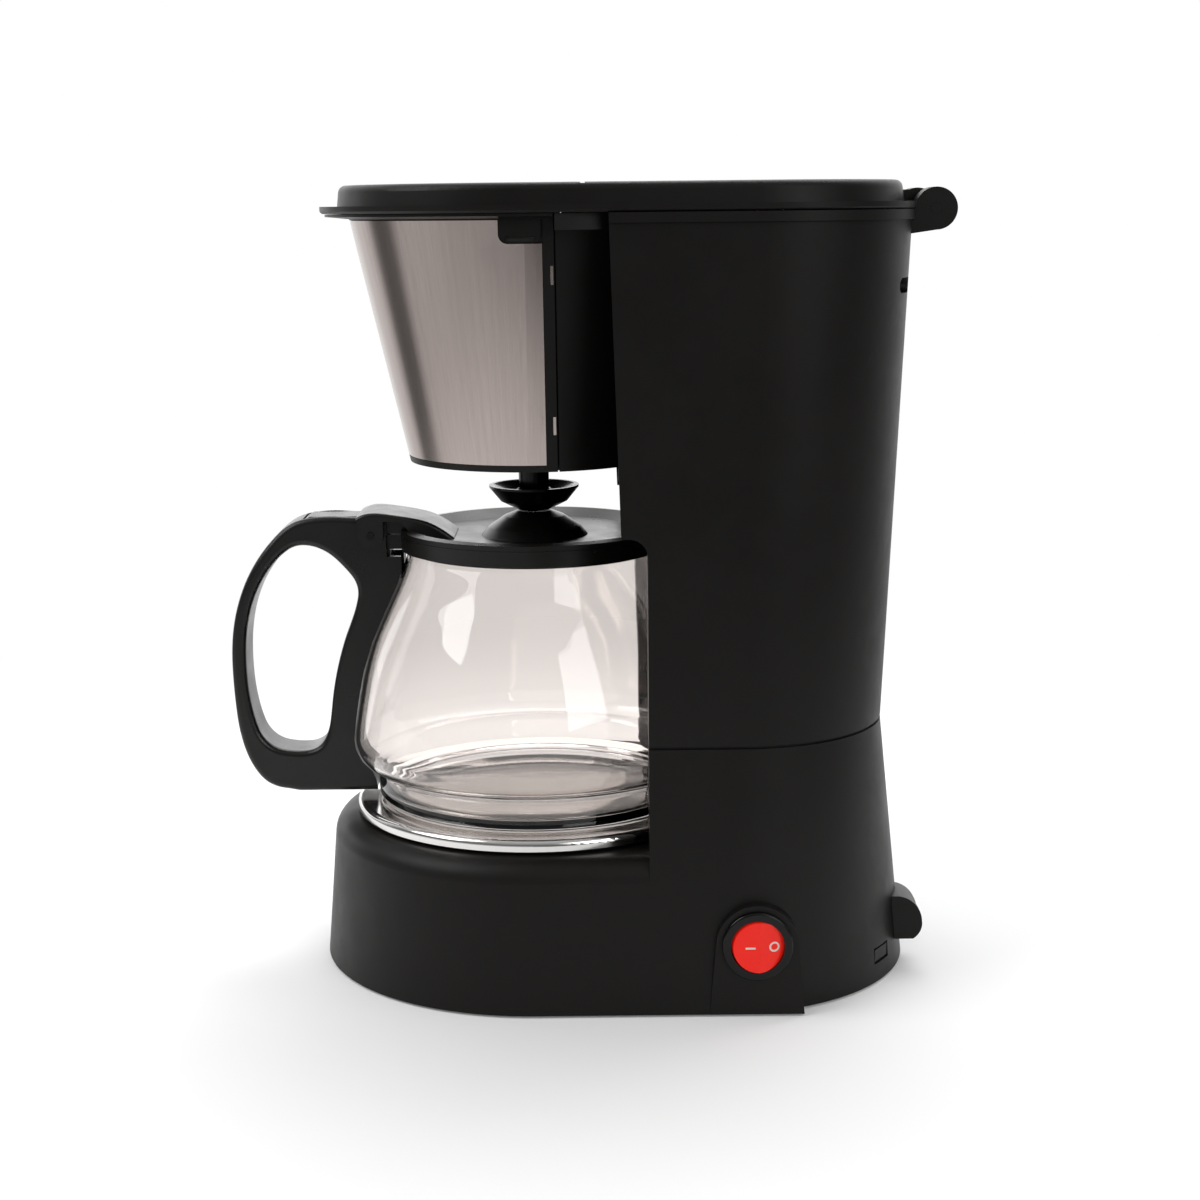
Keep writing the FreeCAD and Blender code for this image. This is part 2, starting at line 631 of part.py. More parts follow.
def cord_inlet():
    rear = base_at(INLET_Z)[1]
    w = INLET_HALF

    def at(y, z):
        return V(0, rear + y, INLET_Z + z * w)

    nose, toe = at(INLET_PROUD, -0.35), at(INLET_PROUD * 0.55, -1.0)
    brow, back_top, back_low = at(-INLET_ROOT / 3.0, INLET_TOP), at(-INLET_ROOT, INLET_TOP), at(-INLET_ROOT,
            -1.0)
    edges = [Part.Arc(brow, at(INLET_PROUD * 0.68, INLET_TOP * 0.4), nose),
             Part.Arc(nose, at(INLET_PROUD * 0.9, -0.75), toe),
             Part.LineSegment(toe, back_low), Part.LineSegment(back_low, back_top),
             Part.LineSegment(back_top, brow)]
    block = side_profile(Part.Wire([e.toShape() for e in edges]), INLET_X - INLET_SIDE,
                         INLET_X + INLET_SIDE)
    block = block.cut(oval_body(shrink(base_at(FOOT_PROUD), -GAP_FIT, FOOT_PROUD),
                                shrink(base_at(SEAM_Z), -GAP_FIT, SEAM_Z)))
    block = block.cut(box(INLET_X - INLET_MOUTH, INLET_X + INLET_MOUTH, rear + INLET_FACE, rear + 30.0,
                          INLET_Z - w - 1.0, CORD_Z + INLET_MOUTH))
    neck = rod((INLET_X, rear - INLET_NECK, CORD_Z), (INLET_X, rear + INLET_FACE - 0.2, CORD_Z),
               CORD_R + 2.0 - GAP_FIT)
    bore = rod((INLET_X, rear - INLET_NECK - 1.0, CORD_Z), (INLET_X, rear + INLET_FACE + 1.0, CORD_Z),
               CORD_R)
    relief = rod((INLET_X, rear - INLET_NECK - 1.0, CORD_Z), (INLET_X, rear + BORE_START, CORD_Z),
                 CORD_R + BORE_RELIEF)
    return join([block, neck]).cut(bore).cut(relief)


def hot_plate():
    top, under, skirt = PLATE_TOP, PLATE_TOP - PLATE_SHEET, PLATE_SKIRT_Z
    body = turned([(0, top), (PLATE_R, top), (PLATE_R, skirt), (PLATE_R - PLATE_SHEET, skirt),
                   (PLATE_R - PLATE_SHEET, under), (0, under)])
    body = body.makeFillet(PLATE_EDGE_R, [e for e in body.Edges if abs(e.BoundBox.ZMin - top) < 1e-6
                                          and e.BoundBox.XLength > PLATE_R])
    stud_low = PLATE_TOP - PLATE_SHEET - 2.0 * HEATER_TUBE_R - CLAMP_T - NUT_T - 2.0
    return join([body, cyl(STUD_R, stud_low, under)])


def hot_plate_seal():
    return cyl(SEAL_OUT_R, DECK_Z, PLATE_TOP - PLATE_SHEET).cut(cyl(DECK_HOLE_R + 1.0, DECK_Z - 1,
                                                                    PLATE_TOP))


def heater_end(s):
    a = math.radians(90.0 - s * HEATER_OPEN_DEG)
    x = HEATER_R * math.cos(a) - s * HEATER_BEND * math.sin(a)
    return x, HEATER_R * math.sin(a) + s * HEATER_BEND * math.cos(a)


def heater_path():
    z = PLATE_TOP - PLATE_SHEET - HEATER_TUBE_R
    k = HEATER_BEND * (1.0 - math.sqrt(0.5))
    tails = []
    for s in (1, -1):
        a = math.radians(90.0 - s * HEATER_OPEN_DEG)
        end = V(HEATER_R * math.cos(a), HEATER_R * math.sin(a), z)
        run = V(-s * math.sin(a), s * math.cos(a), 0)
        x, y = heater_end(s)
        low = V(x, y, z - HEATER_BEND)
        mid = end + run * (HEATER_BEND * math.sqrt(0.5)) - V(0, 0, k)
        tails.append((V(x, y, HEATER_TAIL_Z), low, mid, end))
    (a0, a1, am, a2), (b0, b1, bm, b2) = tails
    return Part.Wire([Part.LineSegment(a0, a1).toShape(), Part.Arc(a1, am, a2).toShape(),
                      Part.Arc(a2, V(0, -HEATER_R, z), b2).toShape(),
                      Part.Arc(b2, bm, b1).toShape(), Part.LineSegment(b1, b0).toShape()]), a0


def heater_tube():
    path, start = heater_path()
    rings = [Part.Wire([Part.makeCircle(r, start, V(0, 0, 1))]) for r in (HEATER_TUBE_R, HEATER_BORE_R)]
    return path.makePipeShell([rings[0]], True, True).cut(path.makePipeShell([rings[1]], True, True))


def clamp_levels():
    top = PLATE_TOP - PLATE_SHEET - 2.0 * HEATER_TUBE_R
    return top - CLAMP_T, top


def heater_clamp():
    z0, z1 = clamp_levels()
    bar = box(-CLAMP_HALF + 2.0, CLAMP_HALF - 2.0, -CLAMP_W / 2, CLAMP_W / 2, z0, z1)
    ends = [box(s * CLAMP_HALF if s < 0 else CLAMP_HALF - CLAMP_T, -CLAMP_HALF + CLAMP_T
                if s < 0 else CLAMP_HALF,
                -CLAMP_W / 2, CLAMP_W / 2, z0, DECK_Z - BASE_WALL) for s in (1, -1)]
    bar = join([bar] + ends)
    return bar.cut(cyl(STUD_R + GAP_SLIDE, z0 - 1, z1 + 1))


def heater_nut():
    z0, _ = clamp_levels()
    pts = [V(NUT_R * math.cos(math.radians(60 * i)), NUT_R * math.sin(math.radians(60 * i)), z0 - NUT_T)
           for i in range(7)]
    nut = Part.Face(Part.makePolygon(pts)).extrude(V(0, 0, NUT_T))
    return nut.cut(cyl(STUD_R + GAP_FIT, z0 - NUT_T - 1, z0 + 1))


def thermostat():
    z0, _ = clamp_levels()
    body = cyl(THERMOSTAT_R, z0 - THERMOSTAT_T, z0, THERMOSTAT_X, 0)
    t, low = TERMINAL_T / 2.0, z0 - THERMOSTAT_T
    blades = [box(THERMOSTAT_X - t, THERMOSTAT_X + t, y - TERMINAL_HALF, y + TERMINAL_HALF,
                  low - TERMINAL_L, low + t)
              for y in (TERMINAL_SPREAD, -TERMINAL_SPREAD)]
    return join([body] + blades)


def thermal_fuse():
    z0, _ = clamp_levels()
    z = z0 - FUSE_R
    half, lead = FUSE_L / 2.0, FUSE_L / 2.0 + FUSE_LEAD_L
    return join([rod((FUSE_X, -half, z), (FUSE_X, half, z), FUSE_R),
                 rod((FUSE_X, -lead, z), (FUSE_X, lead, z), FUSE_LEAD_R)])


def hose(top_x, top_y, top_z, s):
    ex, ey = heater_end(s)
    inner = HEATER_TUBE_R + GAP_FIT
    path = [(top_x, top_y, top_z), (top_x, top_y, HOSE_RUN_Z), (ex, ey, HOSE_RUN_Z),
            (ex, ey, HEATER_TAIL_Z + 8.0)]
    return tube(path, HOSE_BEND, inner + HOSE_WALL, inner)


def spigot_low():
    return SEAM_Z - 10.0


def cold_hose():
    return hose(OUTLET_X, OUTLET_Y, SEAM_Z - 1.0, 1)


def hot_hose():
    return hose(RISER_X, RISER_Y, SEAM_Z - 3.0, -1)


def hose_clips():
    r = HEATER_TUBE_R + GAP_FIT + HOSE_WALL
    places = [(OUTLET_X, OUTLET_Y, SEAM_Z - 7.0), (RISER_X, RISER_Y, SEAM_Z - 9.0)]
    places += [heater_end(1) + (HEATER_TAIL_Z + 1.5,), heater_end(-1) + (HEATER_TAIL_Z + 1.5,)]
    clips = []
    for x, y, z in places:
        band = cyl(r + CLIP_T, z, z + CLIP_W, x, y)
        ears = box(x - CLIP_EAR_HALF, x + CLIP_EAR_HALF, y + r, y + r + CLIP_EAR_OUT, z, z + CLIP_W)
        clips.append(join([band, ears]).cut(cyl(r + GAP_FIT, z - 1, z + CLIP_W + 1, x, y)))
    return Part.makeCompound(clips)


def one_way_valve():
    z0 = HOSE_RUN_Z + HOSE_BEND + 6.0
    body = cyl(HEATER_TUBE_R, z0, z0 + VALVE_BODY_L, OUTLET_X, OUTLET_Y)
    body = body.cut(cyl(BALL_SEAT_R, z0 - 1, z0 + VALVE_BODY_L + 1, OUTLET_X, OUTLET_Y))
    return body.cut(cyl(BALL_CELL_R, z0 + BALL_CELL_T, z0 + VALVE_BODY_L - BALL_CELL_T, OUTLET_X, OUTLET_Y))


def valve_ball():
    z0 = HOSE_RUN_Z + HOSE_BEND + 6.0
    rise = math.sqrt(BALL_R ** 2 - BALL_SEAT_R ** 2) + GAP_SLIDE
    return Part.makeSphere(BALL_R, V(OUTLET_X, OUTLET_Y, z0 + BALL_CELL_T + rise))


def tower_housing():
    floor_top = SEAM_Z + TANK_FLOOR_T
    body = oval_body(tower_at(SEAM_Z), tower_at(TOWER_TOP_Z))
    band = oval_body((RIM_HALF, RIM_REAR, CORNER_R, TOWER_TOP_Z), (RIM_HALF, RIM_REAR, CORNER_R, RIM_TOP_Z))
    body = join([body, band]).cut(bay_cut(0.0, SEAM_Z - 5.0, RIM_TOP_Z + 5.0))
    groove = oval_body(tower_at(SEAM_Z), tower_at(SEAM_Z + 1.0)).cut(
        oval_body(shrink(tower_at(SEAM_Z), SEAM_GROOVE, SEAM_Z - 0.1),
                  shrink(tower_at(SEAM_Z), SEAM_GROOVE, SEAM_Z + 1.1)))
    inside = oval_body(shrink(tower_at(SEAM_Z), TOWER_WALL, floor_top),
                       shrink(tower_at(TOWER_TOP_Z), TOWER_WALL, RIM_TOP_Z + 1.0))
    inside = inside.cut(bay_cut(TOWER_WALL, SEAM_Z - 5.0, RIM_TOP_Z + 5.0))
    body = body.cut(inside).cut(groove)
    inner_lip = oval_body(shrink(base_at(SEAM_Z), BASE_WALL + GAP_SLIDE, SEAM_Z - SEAM_LIP),
                          shrink(base_at(SEAM_Z), BASE_WALL + GAP_SLIDE, SEAM_Z + 0.5))
    inner_lip = inner_lip.cut(bay_cut(BASE_WALL + GAP_SLIDE, SEAM_Z - 8.0, SEAM_Z + 2.0))
    core = oval_body(shrink(base_at(SEAM_Z), BASE_WALL + 2.0, SEAM_Z - SEAM_LIP - 1),
                     shrink(base_at(SEAM_Z), BASE_WALL + 2.0, SEAM_Z))
    core = core.cut(bay_cut(BASE_WALL + 2.0, SEAM_Z - 8.0, SEAM_Z + 2.0))
    lip = inner_lip.cut(core)
    head = cone(0.0, HEAD_BOTTOM_Z, TOWER_TOP_Z).fuse(cyl(HEAD_TOP_R, TOWER_TOP_Z, RIM_TOP_Z))
    bridge = cyl(BAY_R + 1.0, TOWER_TOP_Z - 2.0, RIM_TOP_Z).common(box(-WIDE, WIDE, PART_Y, WIDE, 0, FAR))
    bridge = bridge.common(oval_body((RIM_HALF, RIM_REAR, CORNER_R, SEAM_Z),
                                     (RIM_HALF, RIM_REAR, CORNER_R, RIM_TOP_Z)))
    sweep = cyl(SWING_SWEEP_R, TOWER_TOP_Z - 5.0, RIM_TOP_Z + 1.0, SWING_X, PART_Y)
    bridge = bridge.cut(sweep.common(box(SWING_X - 20.0, -HEAD_TOP_R - 0.5, -20, 60, 0, FAR)))
    ribs = []
    for deg in (90.0, 50.0, 130.0):
        rib = box(0.0, BAY_R + 1.0, -1.2, 1.2, HEAD_BOTTOM_Z, TOWER_TOP_Z)
        rib.rotate(V(0, 0, 0), V(0, 0, 1), deg)
        ribs.append(rib)
    rear_half = box(-WIDE, WIDE, PART_Y, WIDE, 0, FAR)
    head = join([head.common(rear_half), bridge] + ribs)
    hollow = cone(HOLDER_WALL, HEAD_BOTTOM_Z - 0.01, TOWER_TOP_Z)
    hollow = hollow.fuse(cyl(HEAD_TOP_R - HOLDER_WALL, TOWER_TOP_Z - 0.01, RIM_TOP_Z + 1))
    hollow = hollow.fuse(cone(HOLDER_WALL, HEAD_BOTTOM_Z - 6.0, HEAD_BOTTOM_Z))
    head = head.cut(hollow)
    lugs = []
    for z0, z1 in ((KNUCKLE_Z0, KNUCKLE_Z0 + LUG_T), (KNUCKLE_Z1 - LUG_T, KNUCKLE_Z1)):
        arm = box(SWING_X - KNUCKLE_R, SWING_X + 14.0, PART_Y, PART_Y + KNUCKLE_R, z0, z1)
        arm = arm.fuse(cyl(KNUCKLE_R, z0, z1, SWING_X, PART_Y))
        lugs.append(arm.cut(hollow).cut(cyl(SWING_PIN_R + GAP_FIT, z0 - 1, z1 + 1, SWING_X, PART_Y)))
    ears = []
    for s in (1, -1):
        x0, x1 = (EAR_X0, EAR_X1) if s > 0 else (-EAR_X1, -EAR_X0)
        ear = rod((x0, LID_PIN_Y, LID_PIN_Z), (x1, LID_PIN_Y, LID_PIN_Z), EAR_R)
        root = polygon_yz([(RIM_REAR - 4.0, LID_PIN_Z + 0.0 - 0.1), (LID_PIN_Y, LID_PIN_Z - 0.1),
                           (LID_PIN_Y, LID_PIN_Z - EAR_R), (RIM_REAR - 4.0, LID_PIN_Z - EAR_R - 1.5)], x0,
                          x1)
        ears.append(ear.fuse(root).cut(box(-WIDE, WIDE, -WIDE, RIM_REAR - 4.0, 0, FAR)))
    body = join([body, lip, head] + lugs + ears)
    body = body.cut(rod((-EAR_X1 - 1, LID_PIN_Y, LID_PIN_Z), (EAR_X1 + 1, LID_PIN_Y, LID_PIN_Z),
                        LID_PIN_R + GAP_FIT))
    spigot = cyl(HEATER_TUBE_R, spigot_low(), SEAM_Z + 1.0, OUTLET_X, OUTLET_Y)
    body = join([body, spigot]).cut(cyl(HEATER_BORE_R, spigot_low() - 1, floor_top + 1, OUTLET_X, OUTLET_Y))
    body = body.cut(cyl(RISER_R + GROMMET_LIP + GAP_FIT, SEAM_Z - 2, floor_top + 1, RISER_X, RISER_Y))
    back = tower_at(OVERFLOW_Z)[1]
    ends = [rod((x, back - CORNER_R / 2.0, OVERFLOW_Z), (x, back + TOWER_WALL, OVERFLOW_Z), OVERFLOW_R)
            for x in (OVERFLOW_X0, OVERFLOW_X1)]
    slot = box(OVERFLOW_X0, OVERFLOW_X1, back - CORNER_R / 2.0, back + TOWER_WALL, OVERFLOW_Z - OVERFLOW_R,
               OVERFLOW_Z + OVERFLOW_R)
    return body.cut(join(ends + [slot]))


def riser_grommet():
    floor_top = SEAM_Z + TANK_FLOOR_T
    body = join([cyl(RISER_R + GROMMET_LIP, SEAM_Z - 1.5, floor_top + 1.5, RISER_X, RISER_Y),
                 cyl(GROMMET_R, floor_top, floor_top + 1.8, RISER_X, RISER_Y)])
    return body.cut(cyl(RISER_R + GAP_FIT, 0, 300, RISER_X, RISER_Y))


def riser_tube():
    low = SEAM_Z - 14.0
    body = join([cyl(RISER_R, low, ARM_Z0 + 0.5, RISER_X, RISER_Y),
                 cyl(HEATER_TUBE_R, low, SEAM_Z - 2.5, RISER_X, RISER_Y)])
    return body.cut(cyl(RISER_BORE_R, low - 1, ARM_Z0 + 1, RISER_X, RISER_Y))


def spout_arm():
    length = math.hypot(RISER_X, RISER_Y)
    outer = box(0, length, -ARM_W / 2, ARM_W / 2, ARM_Z0, ARM_Z1)
    outer = join([outer, cyl(ARM_W / 2 + 2.0, ARM_Z0, ARM_Z1, 0, 0),
                  cyl(SPRAY_R, ARM_Z0, ARM_Z1, length, 0)])
    inner = box(0, length, -ARM_W / 2 + ARM_WALL, ARM_W / 2 - ARM_WALL, ARM_Z0 + ARM_WALL,
                ARM_Z1 - ARM_WALL)
    inner = join([inner, cyl(ARM_W / 2 + 2.0 - ARM_WALL, ARM_Z0 + ARM_WALL, ARM_Z1 - ARM_WALL),
                  cyl(SPRAY_R - ARM_WALL, ARM_Z0 + ARM_WALL, ARM_Z1 - ARM_WALL, length, 0)])
    arm = outer.cut(inner).cut(cyl(RISER_R + GAP_FIT, ARM_Z0 - 1, ARM_Z0 + ARM_WALL + 1))
    for i in range(SPRAY_HOLES):
        a = 2.0 * math.pi * i / SPRAY_HOLES
        x, y = length + SPRAY_RING_R * math.cos(a), SPRAY_RING_R * math.sin(a)
        arm = arm.cut(cyl(SPRAY_HOLE_R, ARM_Z0 - 1, ARM_Z0 + ARM_WALL + 0.5, x, y))
    arm.rotate(V(0, 0, 0), V(0, 0, 1), math.degrees(math.atan2(-RISER_Y, -RISER_X)))
    arm.translate(V(RISER_X, RISER_Y, 0))
    return arm


def basket_holder():
    big = box(-WIDE, WIDE, -WIDE, PART_Y - GAP_SWING, 0, FAR)
    rear = box(-WIDE, WIDE, PART_Y - GAP_SWING - 1.0, WIDE, 0, FAR)
    top = RIM_TOP_Z
    front = cone(SKIN_T, HEAD_BOTTOM_Z, HOLDER_RIM_Z)
    bottom_band = cone(0.0, HEAD_BOTTOM_Z, SKIN_BOTTOM_Z)
    end_band = cone(0.0, HEAD_BOTTOM_Z, HOLDER_RIM_Z).common(box(-WIDE, WIDE, SKIN_END_Y + GAP_REST,
                                                                 PART_Y - GAP_SWING, 0, FAR))
    top_band = cone(0.0, SKIN_TOP_Z, HOLDER_RIM_Z)
    rim = turned([(0, HOLDER_RIM_Z), (HEAD_TOP_R + 0.8, HOLDER_RIM_Z), (HOLDER_RIM_R, top - 0.8),
                  (HOLDER_RIM_R, top), (0, top)])
    front = join([front, bottom_band, top_band, rim]).common(big)
    front = join([front, end_band])
    cup_in = HOLDER_WALL + CUP_INSET
    back = cone(CUP_INSET, HEAD_BOTTOM_Z, TOWER_TOP_Z).common(rear)
    body = join([front, back])
    hollow = cone(cup_in, HEAD_BOTTOM_Z + HOLDER_FLOOR,
                  TOWER_TOP_Z).fuse(cyl(HEAD_TOP_R - cup_in, TOWER_TOP_Z - 0.01, top + 1))
    body = body.cut(hollow)
    knuckle_z0, knuckle_z1 = KNUCKLE_Z0 + LUG_T + GAP_SLIDE, KNUCKLE_Z1 - LUG_T - GAP_SLIDE
    arm = box(SWING_X, SWING_X + 16.0, PART_Y - GAP_SWING - KNUCKLE_R, PART_Y - GAP_SWING, knuckle_z0,
              knuckle_z1)
    arm = arm.fuse(cyl(KNUCKLE_R, knuckle_z0, knuckle_z1, SWING_X, PART_Y))
    arm = arm.cut(cone(HOLDER_WALL, HEAD_BOTTOM_Z, TOWER_TOP_Z))
    body = join([body, arm])
    for z0, z1 in ((KNUCKLE_Z0 - 1.0, KNUCKLE_Z0 + LUG_T + GAP_SLIDE),
                   (KNUCKLE_Z1 - LUG_T - GAP_SLIDE, RIM_TOP_Z + 1.0)):
        body = body.cut(cyl(KNUCKLE_R + GAP_SWING, z0, z1, SWING_X, PART_Y))
    body = body.cut(cyl(SWING_PIN_R + GAP_FIT, KNUCKLE_Z0 - 5, KNUCKLE_Z1 + 5, SWING_X, PART_Y))
    tab_x = cone_r(TAB_Z0)
    tab = box(tab_x - TAB_ROOT, tab_x + TAB_OUT, TAB_Y0, TAB_Y1, TAB_Z0, HOLDER_RIM_Z + TAB_EDGE)
    tab = tab.makeFillet(TAB_CORNER_R, [e for e in tab.Edges if e.BoundBox.XLength > TAB_OUT
                                        and e.BoundBox.ZMax < TAB_Z0 + 0.1])
    scoop_x, scoop_z = tab_x + TAB_OUT - TAB_EDGE, TAB_Z0 - TAB_EDGE
    scoop = rod((scoop_x, TAB_Y0 + TAB_CHEEK, scoop_z), (scoop_x, TAB_Y1 - TAB_CHEEK, scoop_z), TAB_SCOOP_R)
    tab = tab.cut(scoop).cut(cone(HOLDER_WALL, HEAD_BOTTOM_Z, HOLDER_RIM_Z + 1.0))
    body = join([body, tab])
    for z in (SKIN_TAB_LOW_Z, SKIN_TAB_HIGH_Z):
        body = body.cut(skin_tab(z, GAP_FIT * 2.0))
    return body.cut(cyl(VALVE_HOLE_R, HEAD_BOTTOM_Z - 1, HEAD_BOTTOM_Z + HOLDER_FLOOR + 1))


def skin_tab(z, grow):
    h = SKIN_TAB_H / 2.0 + grow
    deep = SKIN_TAB_DEEP + SKIN_T
    end = PART_Y - GAP_SWING - GAP_SLIDE
    pieces = []
    for outer, inner, y0, y1 in ((0.0, deep, SKIN_END_Y - 2.0, SKIN_END_Y - 1.0),
                                 (SKIN_TAB_DEEP, deep, SKIN_END_Y - 2.0, end),
                                 (0.0, deep, end - SKIN_TAB_SHOW, end)):
        ring = cone(outer - grow, z - h, z + h).cut(cone(inner + grow, z - h, z + h))
        pieces.append(ring.common(box(0, WIDE, y0 - grow, y1 + grow, 0, FAR)))
    return join(pieces)


def steel_skin():
    outer = cone(0.0, SKIN_BOTTOM_Z + GAP_REST, SKIN_TOP_Z - GAP_REST)
    skin = outer.cut(cone(SKIN_T - GAP_FIT, SKIN_BOTTOM_Z - 1, SKIN_TOP_Z + 1))
    skin = skin.common(box(-WIDE, WIDE, -WIDE, SKIN_END_Y, 0, FAR))
    tabs = [skin_tab(z, 0.0) for z in (SKIN_TAB_LOW_Z, SKIN_TAB_HIGH_Z)]
    skin = join([skin] + tabs)
    tab_x = cone_r(TAB_Z0)
    notch = box(tab_x - TAB_ROOT, tab_x + TAB_ROOT, TAB_Y0 - TAB_EDGE, TAB_Y1 + TAB_ROOT, TAB_Z0 - TAB_EDGE,
                RIM_TOP_Z)
    notch = notch.makeFillet(TAB_CORNER_R, [e for e in notch.Edges if e.BoundBox.XLength > TAB_ROOT
                                            and e.BoundBox.ZMax < TAB_Z0 and e.BoundBox.YMax < TAB_Y0])
    skin = skin.cut(notch)
    arm = box(SWING_X - 6, SWING_X + 16.0, PART_Y - GAP_SWING - KNUCKLE_R - 0.4, 20,
              KNUCKLE_Z0 + LUG_T - 0.2, KNUCKLE_Z1 - LUG_T + 0.2)
    skin = skin.cut(arm)
    return skin.cut(cyl(KNUCKLE_R + GAP_SWING, KNUCKLE_Z0 - 1, RIM_TOP_Z, SWING_X, PART_Y))


def swing_pin():
    return join([cyl(SWING_PIN_R, KNUCKLE_Z0 - 1.0, KNUCKLE_Z1, SWING_X, PART_Y),
                 cyl(SWING_PIN_R + 1.0, KNUCKLE_Z1, KNUCKLE_Z1 + 1.0, SWING_X, PART_Y)])


def filter_basket():
    inset = HOLDER_WALL + CUP_INSET + FILTER_GAP
    outer = cone(inset, FILTER_FLOOR_Z, FILTER_RIM_Z)
    seat = cone(HOLDER_WALL + CUP_INSET + GAP_REST, FILTER_RIM_Z - 4.0, FILTER_RIM_Z)
    inner = cone(inset + FILTER_WALL, FILTER_FLOOR_Z + FILTER_WALL, FILTER_RIM_Z + 1.0)
    body = join([outer, seat]).cut(inner)
    legs = cyl(FILTER_LEG_R, HEAD_BOTTOM_Z + HOLDER_FLOOR, FILTER_FLOOR_Z + 0.5).cut(
        cyl(FILTER_LEG_R - FILTER_WALL, HEAD_BOTTOM_Z, FILTER_FLOOR_Z + 0.1))
    low, high = HEAD_BOTTOM_Z + HOLDER_FLOOR - 1.0, FILTER_FLOOR_Z - LEG_SLOT_DROP
    legs = legs.cut(box(-LEG_SLOT_HALF, LEG_SLOT_HALF, -WIDE, WIDE, low, high))
    legs = legs.cut(box(-WIDE, WIDE, -LEG_SLOT_HALF, LEG_SLOT_HALF, low, high))
    body = join([body, legs])
    for i in range(WINDOW_COUNT):
        win = box(0, WIDE, -WINDOW_HALF, WINDOW_HALF, FILTER_FLOOR_Z + WINDOW_LOW,
                  FILTER_RIM_Z - WINDOW_HIGH)
        win.rotate(V(0, 0, 0), V(0, 0, 1), 360.0 * (i + 0.5) / WINDOW_COUNT)
        body = body.cut(win)
    for i in range(DRAIN_HOLES):
        a = 2.0 * math.pi * i / DRAIN_HOLES
        x, y = DRAIN_RING_R * math.cos(a), DRAIN_RING_R * math.sin(a)
        body = body.cut(cyl(DRAIN_HOLE_R, FILTER_FLOOR_Z - 1.0, FILTER_FLOOR_Z + FILTER_WALL + 1.0, x, y))
    return body


def filter_mesh():
    inset = HOLDER_WALL + CUP_INSET + FILTER_GAP + FILTER_WALL + GAP_REST
    z0, z1 = FILTER_FLOOR_Z + FILTER_WALL, FILTER_RIM_Z - 6.0
    return cone(inset, z0, z1).cut(cone(inset + MESH_T, z0 + MESH_T, z1 + 1.0))


def drip_valve():
    floor_top = HEAD_BOTTOM_Z + HOLDER_FLOOR + GAP_SLIDE
    stem_top = floor_top + VALVE_SEAL_T + VALVE_HEAD_T
    pts = [(0, DISH_LOW_Z), (DISH_LOW_R, DISH_LOW_Z), (DISH_R - 4.0, DISH_RIM_Z - 5.6),
           (DISH_R, DISH_RIM_Z - 0.8), (DISH_R, DISH_RIM_Z),
           (DISH_R - 1.4, DISH_RIM_Z), (DISH_NECK_R + 2.5, DISH_RIM_Z - 3.0),
           (DISH_NECK_R, DISH_RIM_Z - 1.0), (DISH_NECK_R, HEAD_BOTTOM_Z - VALVE_LIFT - 1.2),
           (STEM_R, HEAD_BOTTOM_Z - VALVE_LIFT - 1.0), (STEM_R, floor_top + VALVE_SEAL_T),
           (VALVE_HEAD_R, floor_top + VALVE_SEAL_T),
           (VALVE_HEAD_R, stem_top), (SPRING_R - 1.6, stem_top), (SPRING_R - 1.6, stem_top + 3.0),
           (0, stem_top + 3.0)]
    return turned(pts)


def valve_seal():
    floor_top = HEAD_BOTTOM_Z + HOLDER_FLOOR + GAP_SLIDE
    return cyl(VALVE_HEAD_R - 0.5, floor_top,
               floor_top + VALVE_SEAL_T).cut(cyl(STEM_R + GAP_FIT, floor_top - 1, floor_top + 5))


def valve_spring():
    z0 = HEAD_BOTTOM_Z + HOLDER_FLOOR + GAP_SLIDE + VALVE_SEAL_T + VALVE_HEAD_T
    return cyl(SPRING_R + SPRING_WIRE / 2, z0,
               FILTER_FLOOR_Z).cut(cyl(SPRING_R - SPRING_WIRE / 2, z0 - 1, FILTER_FLOOR_Z + 1))


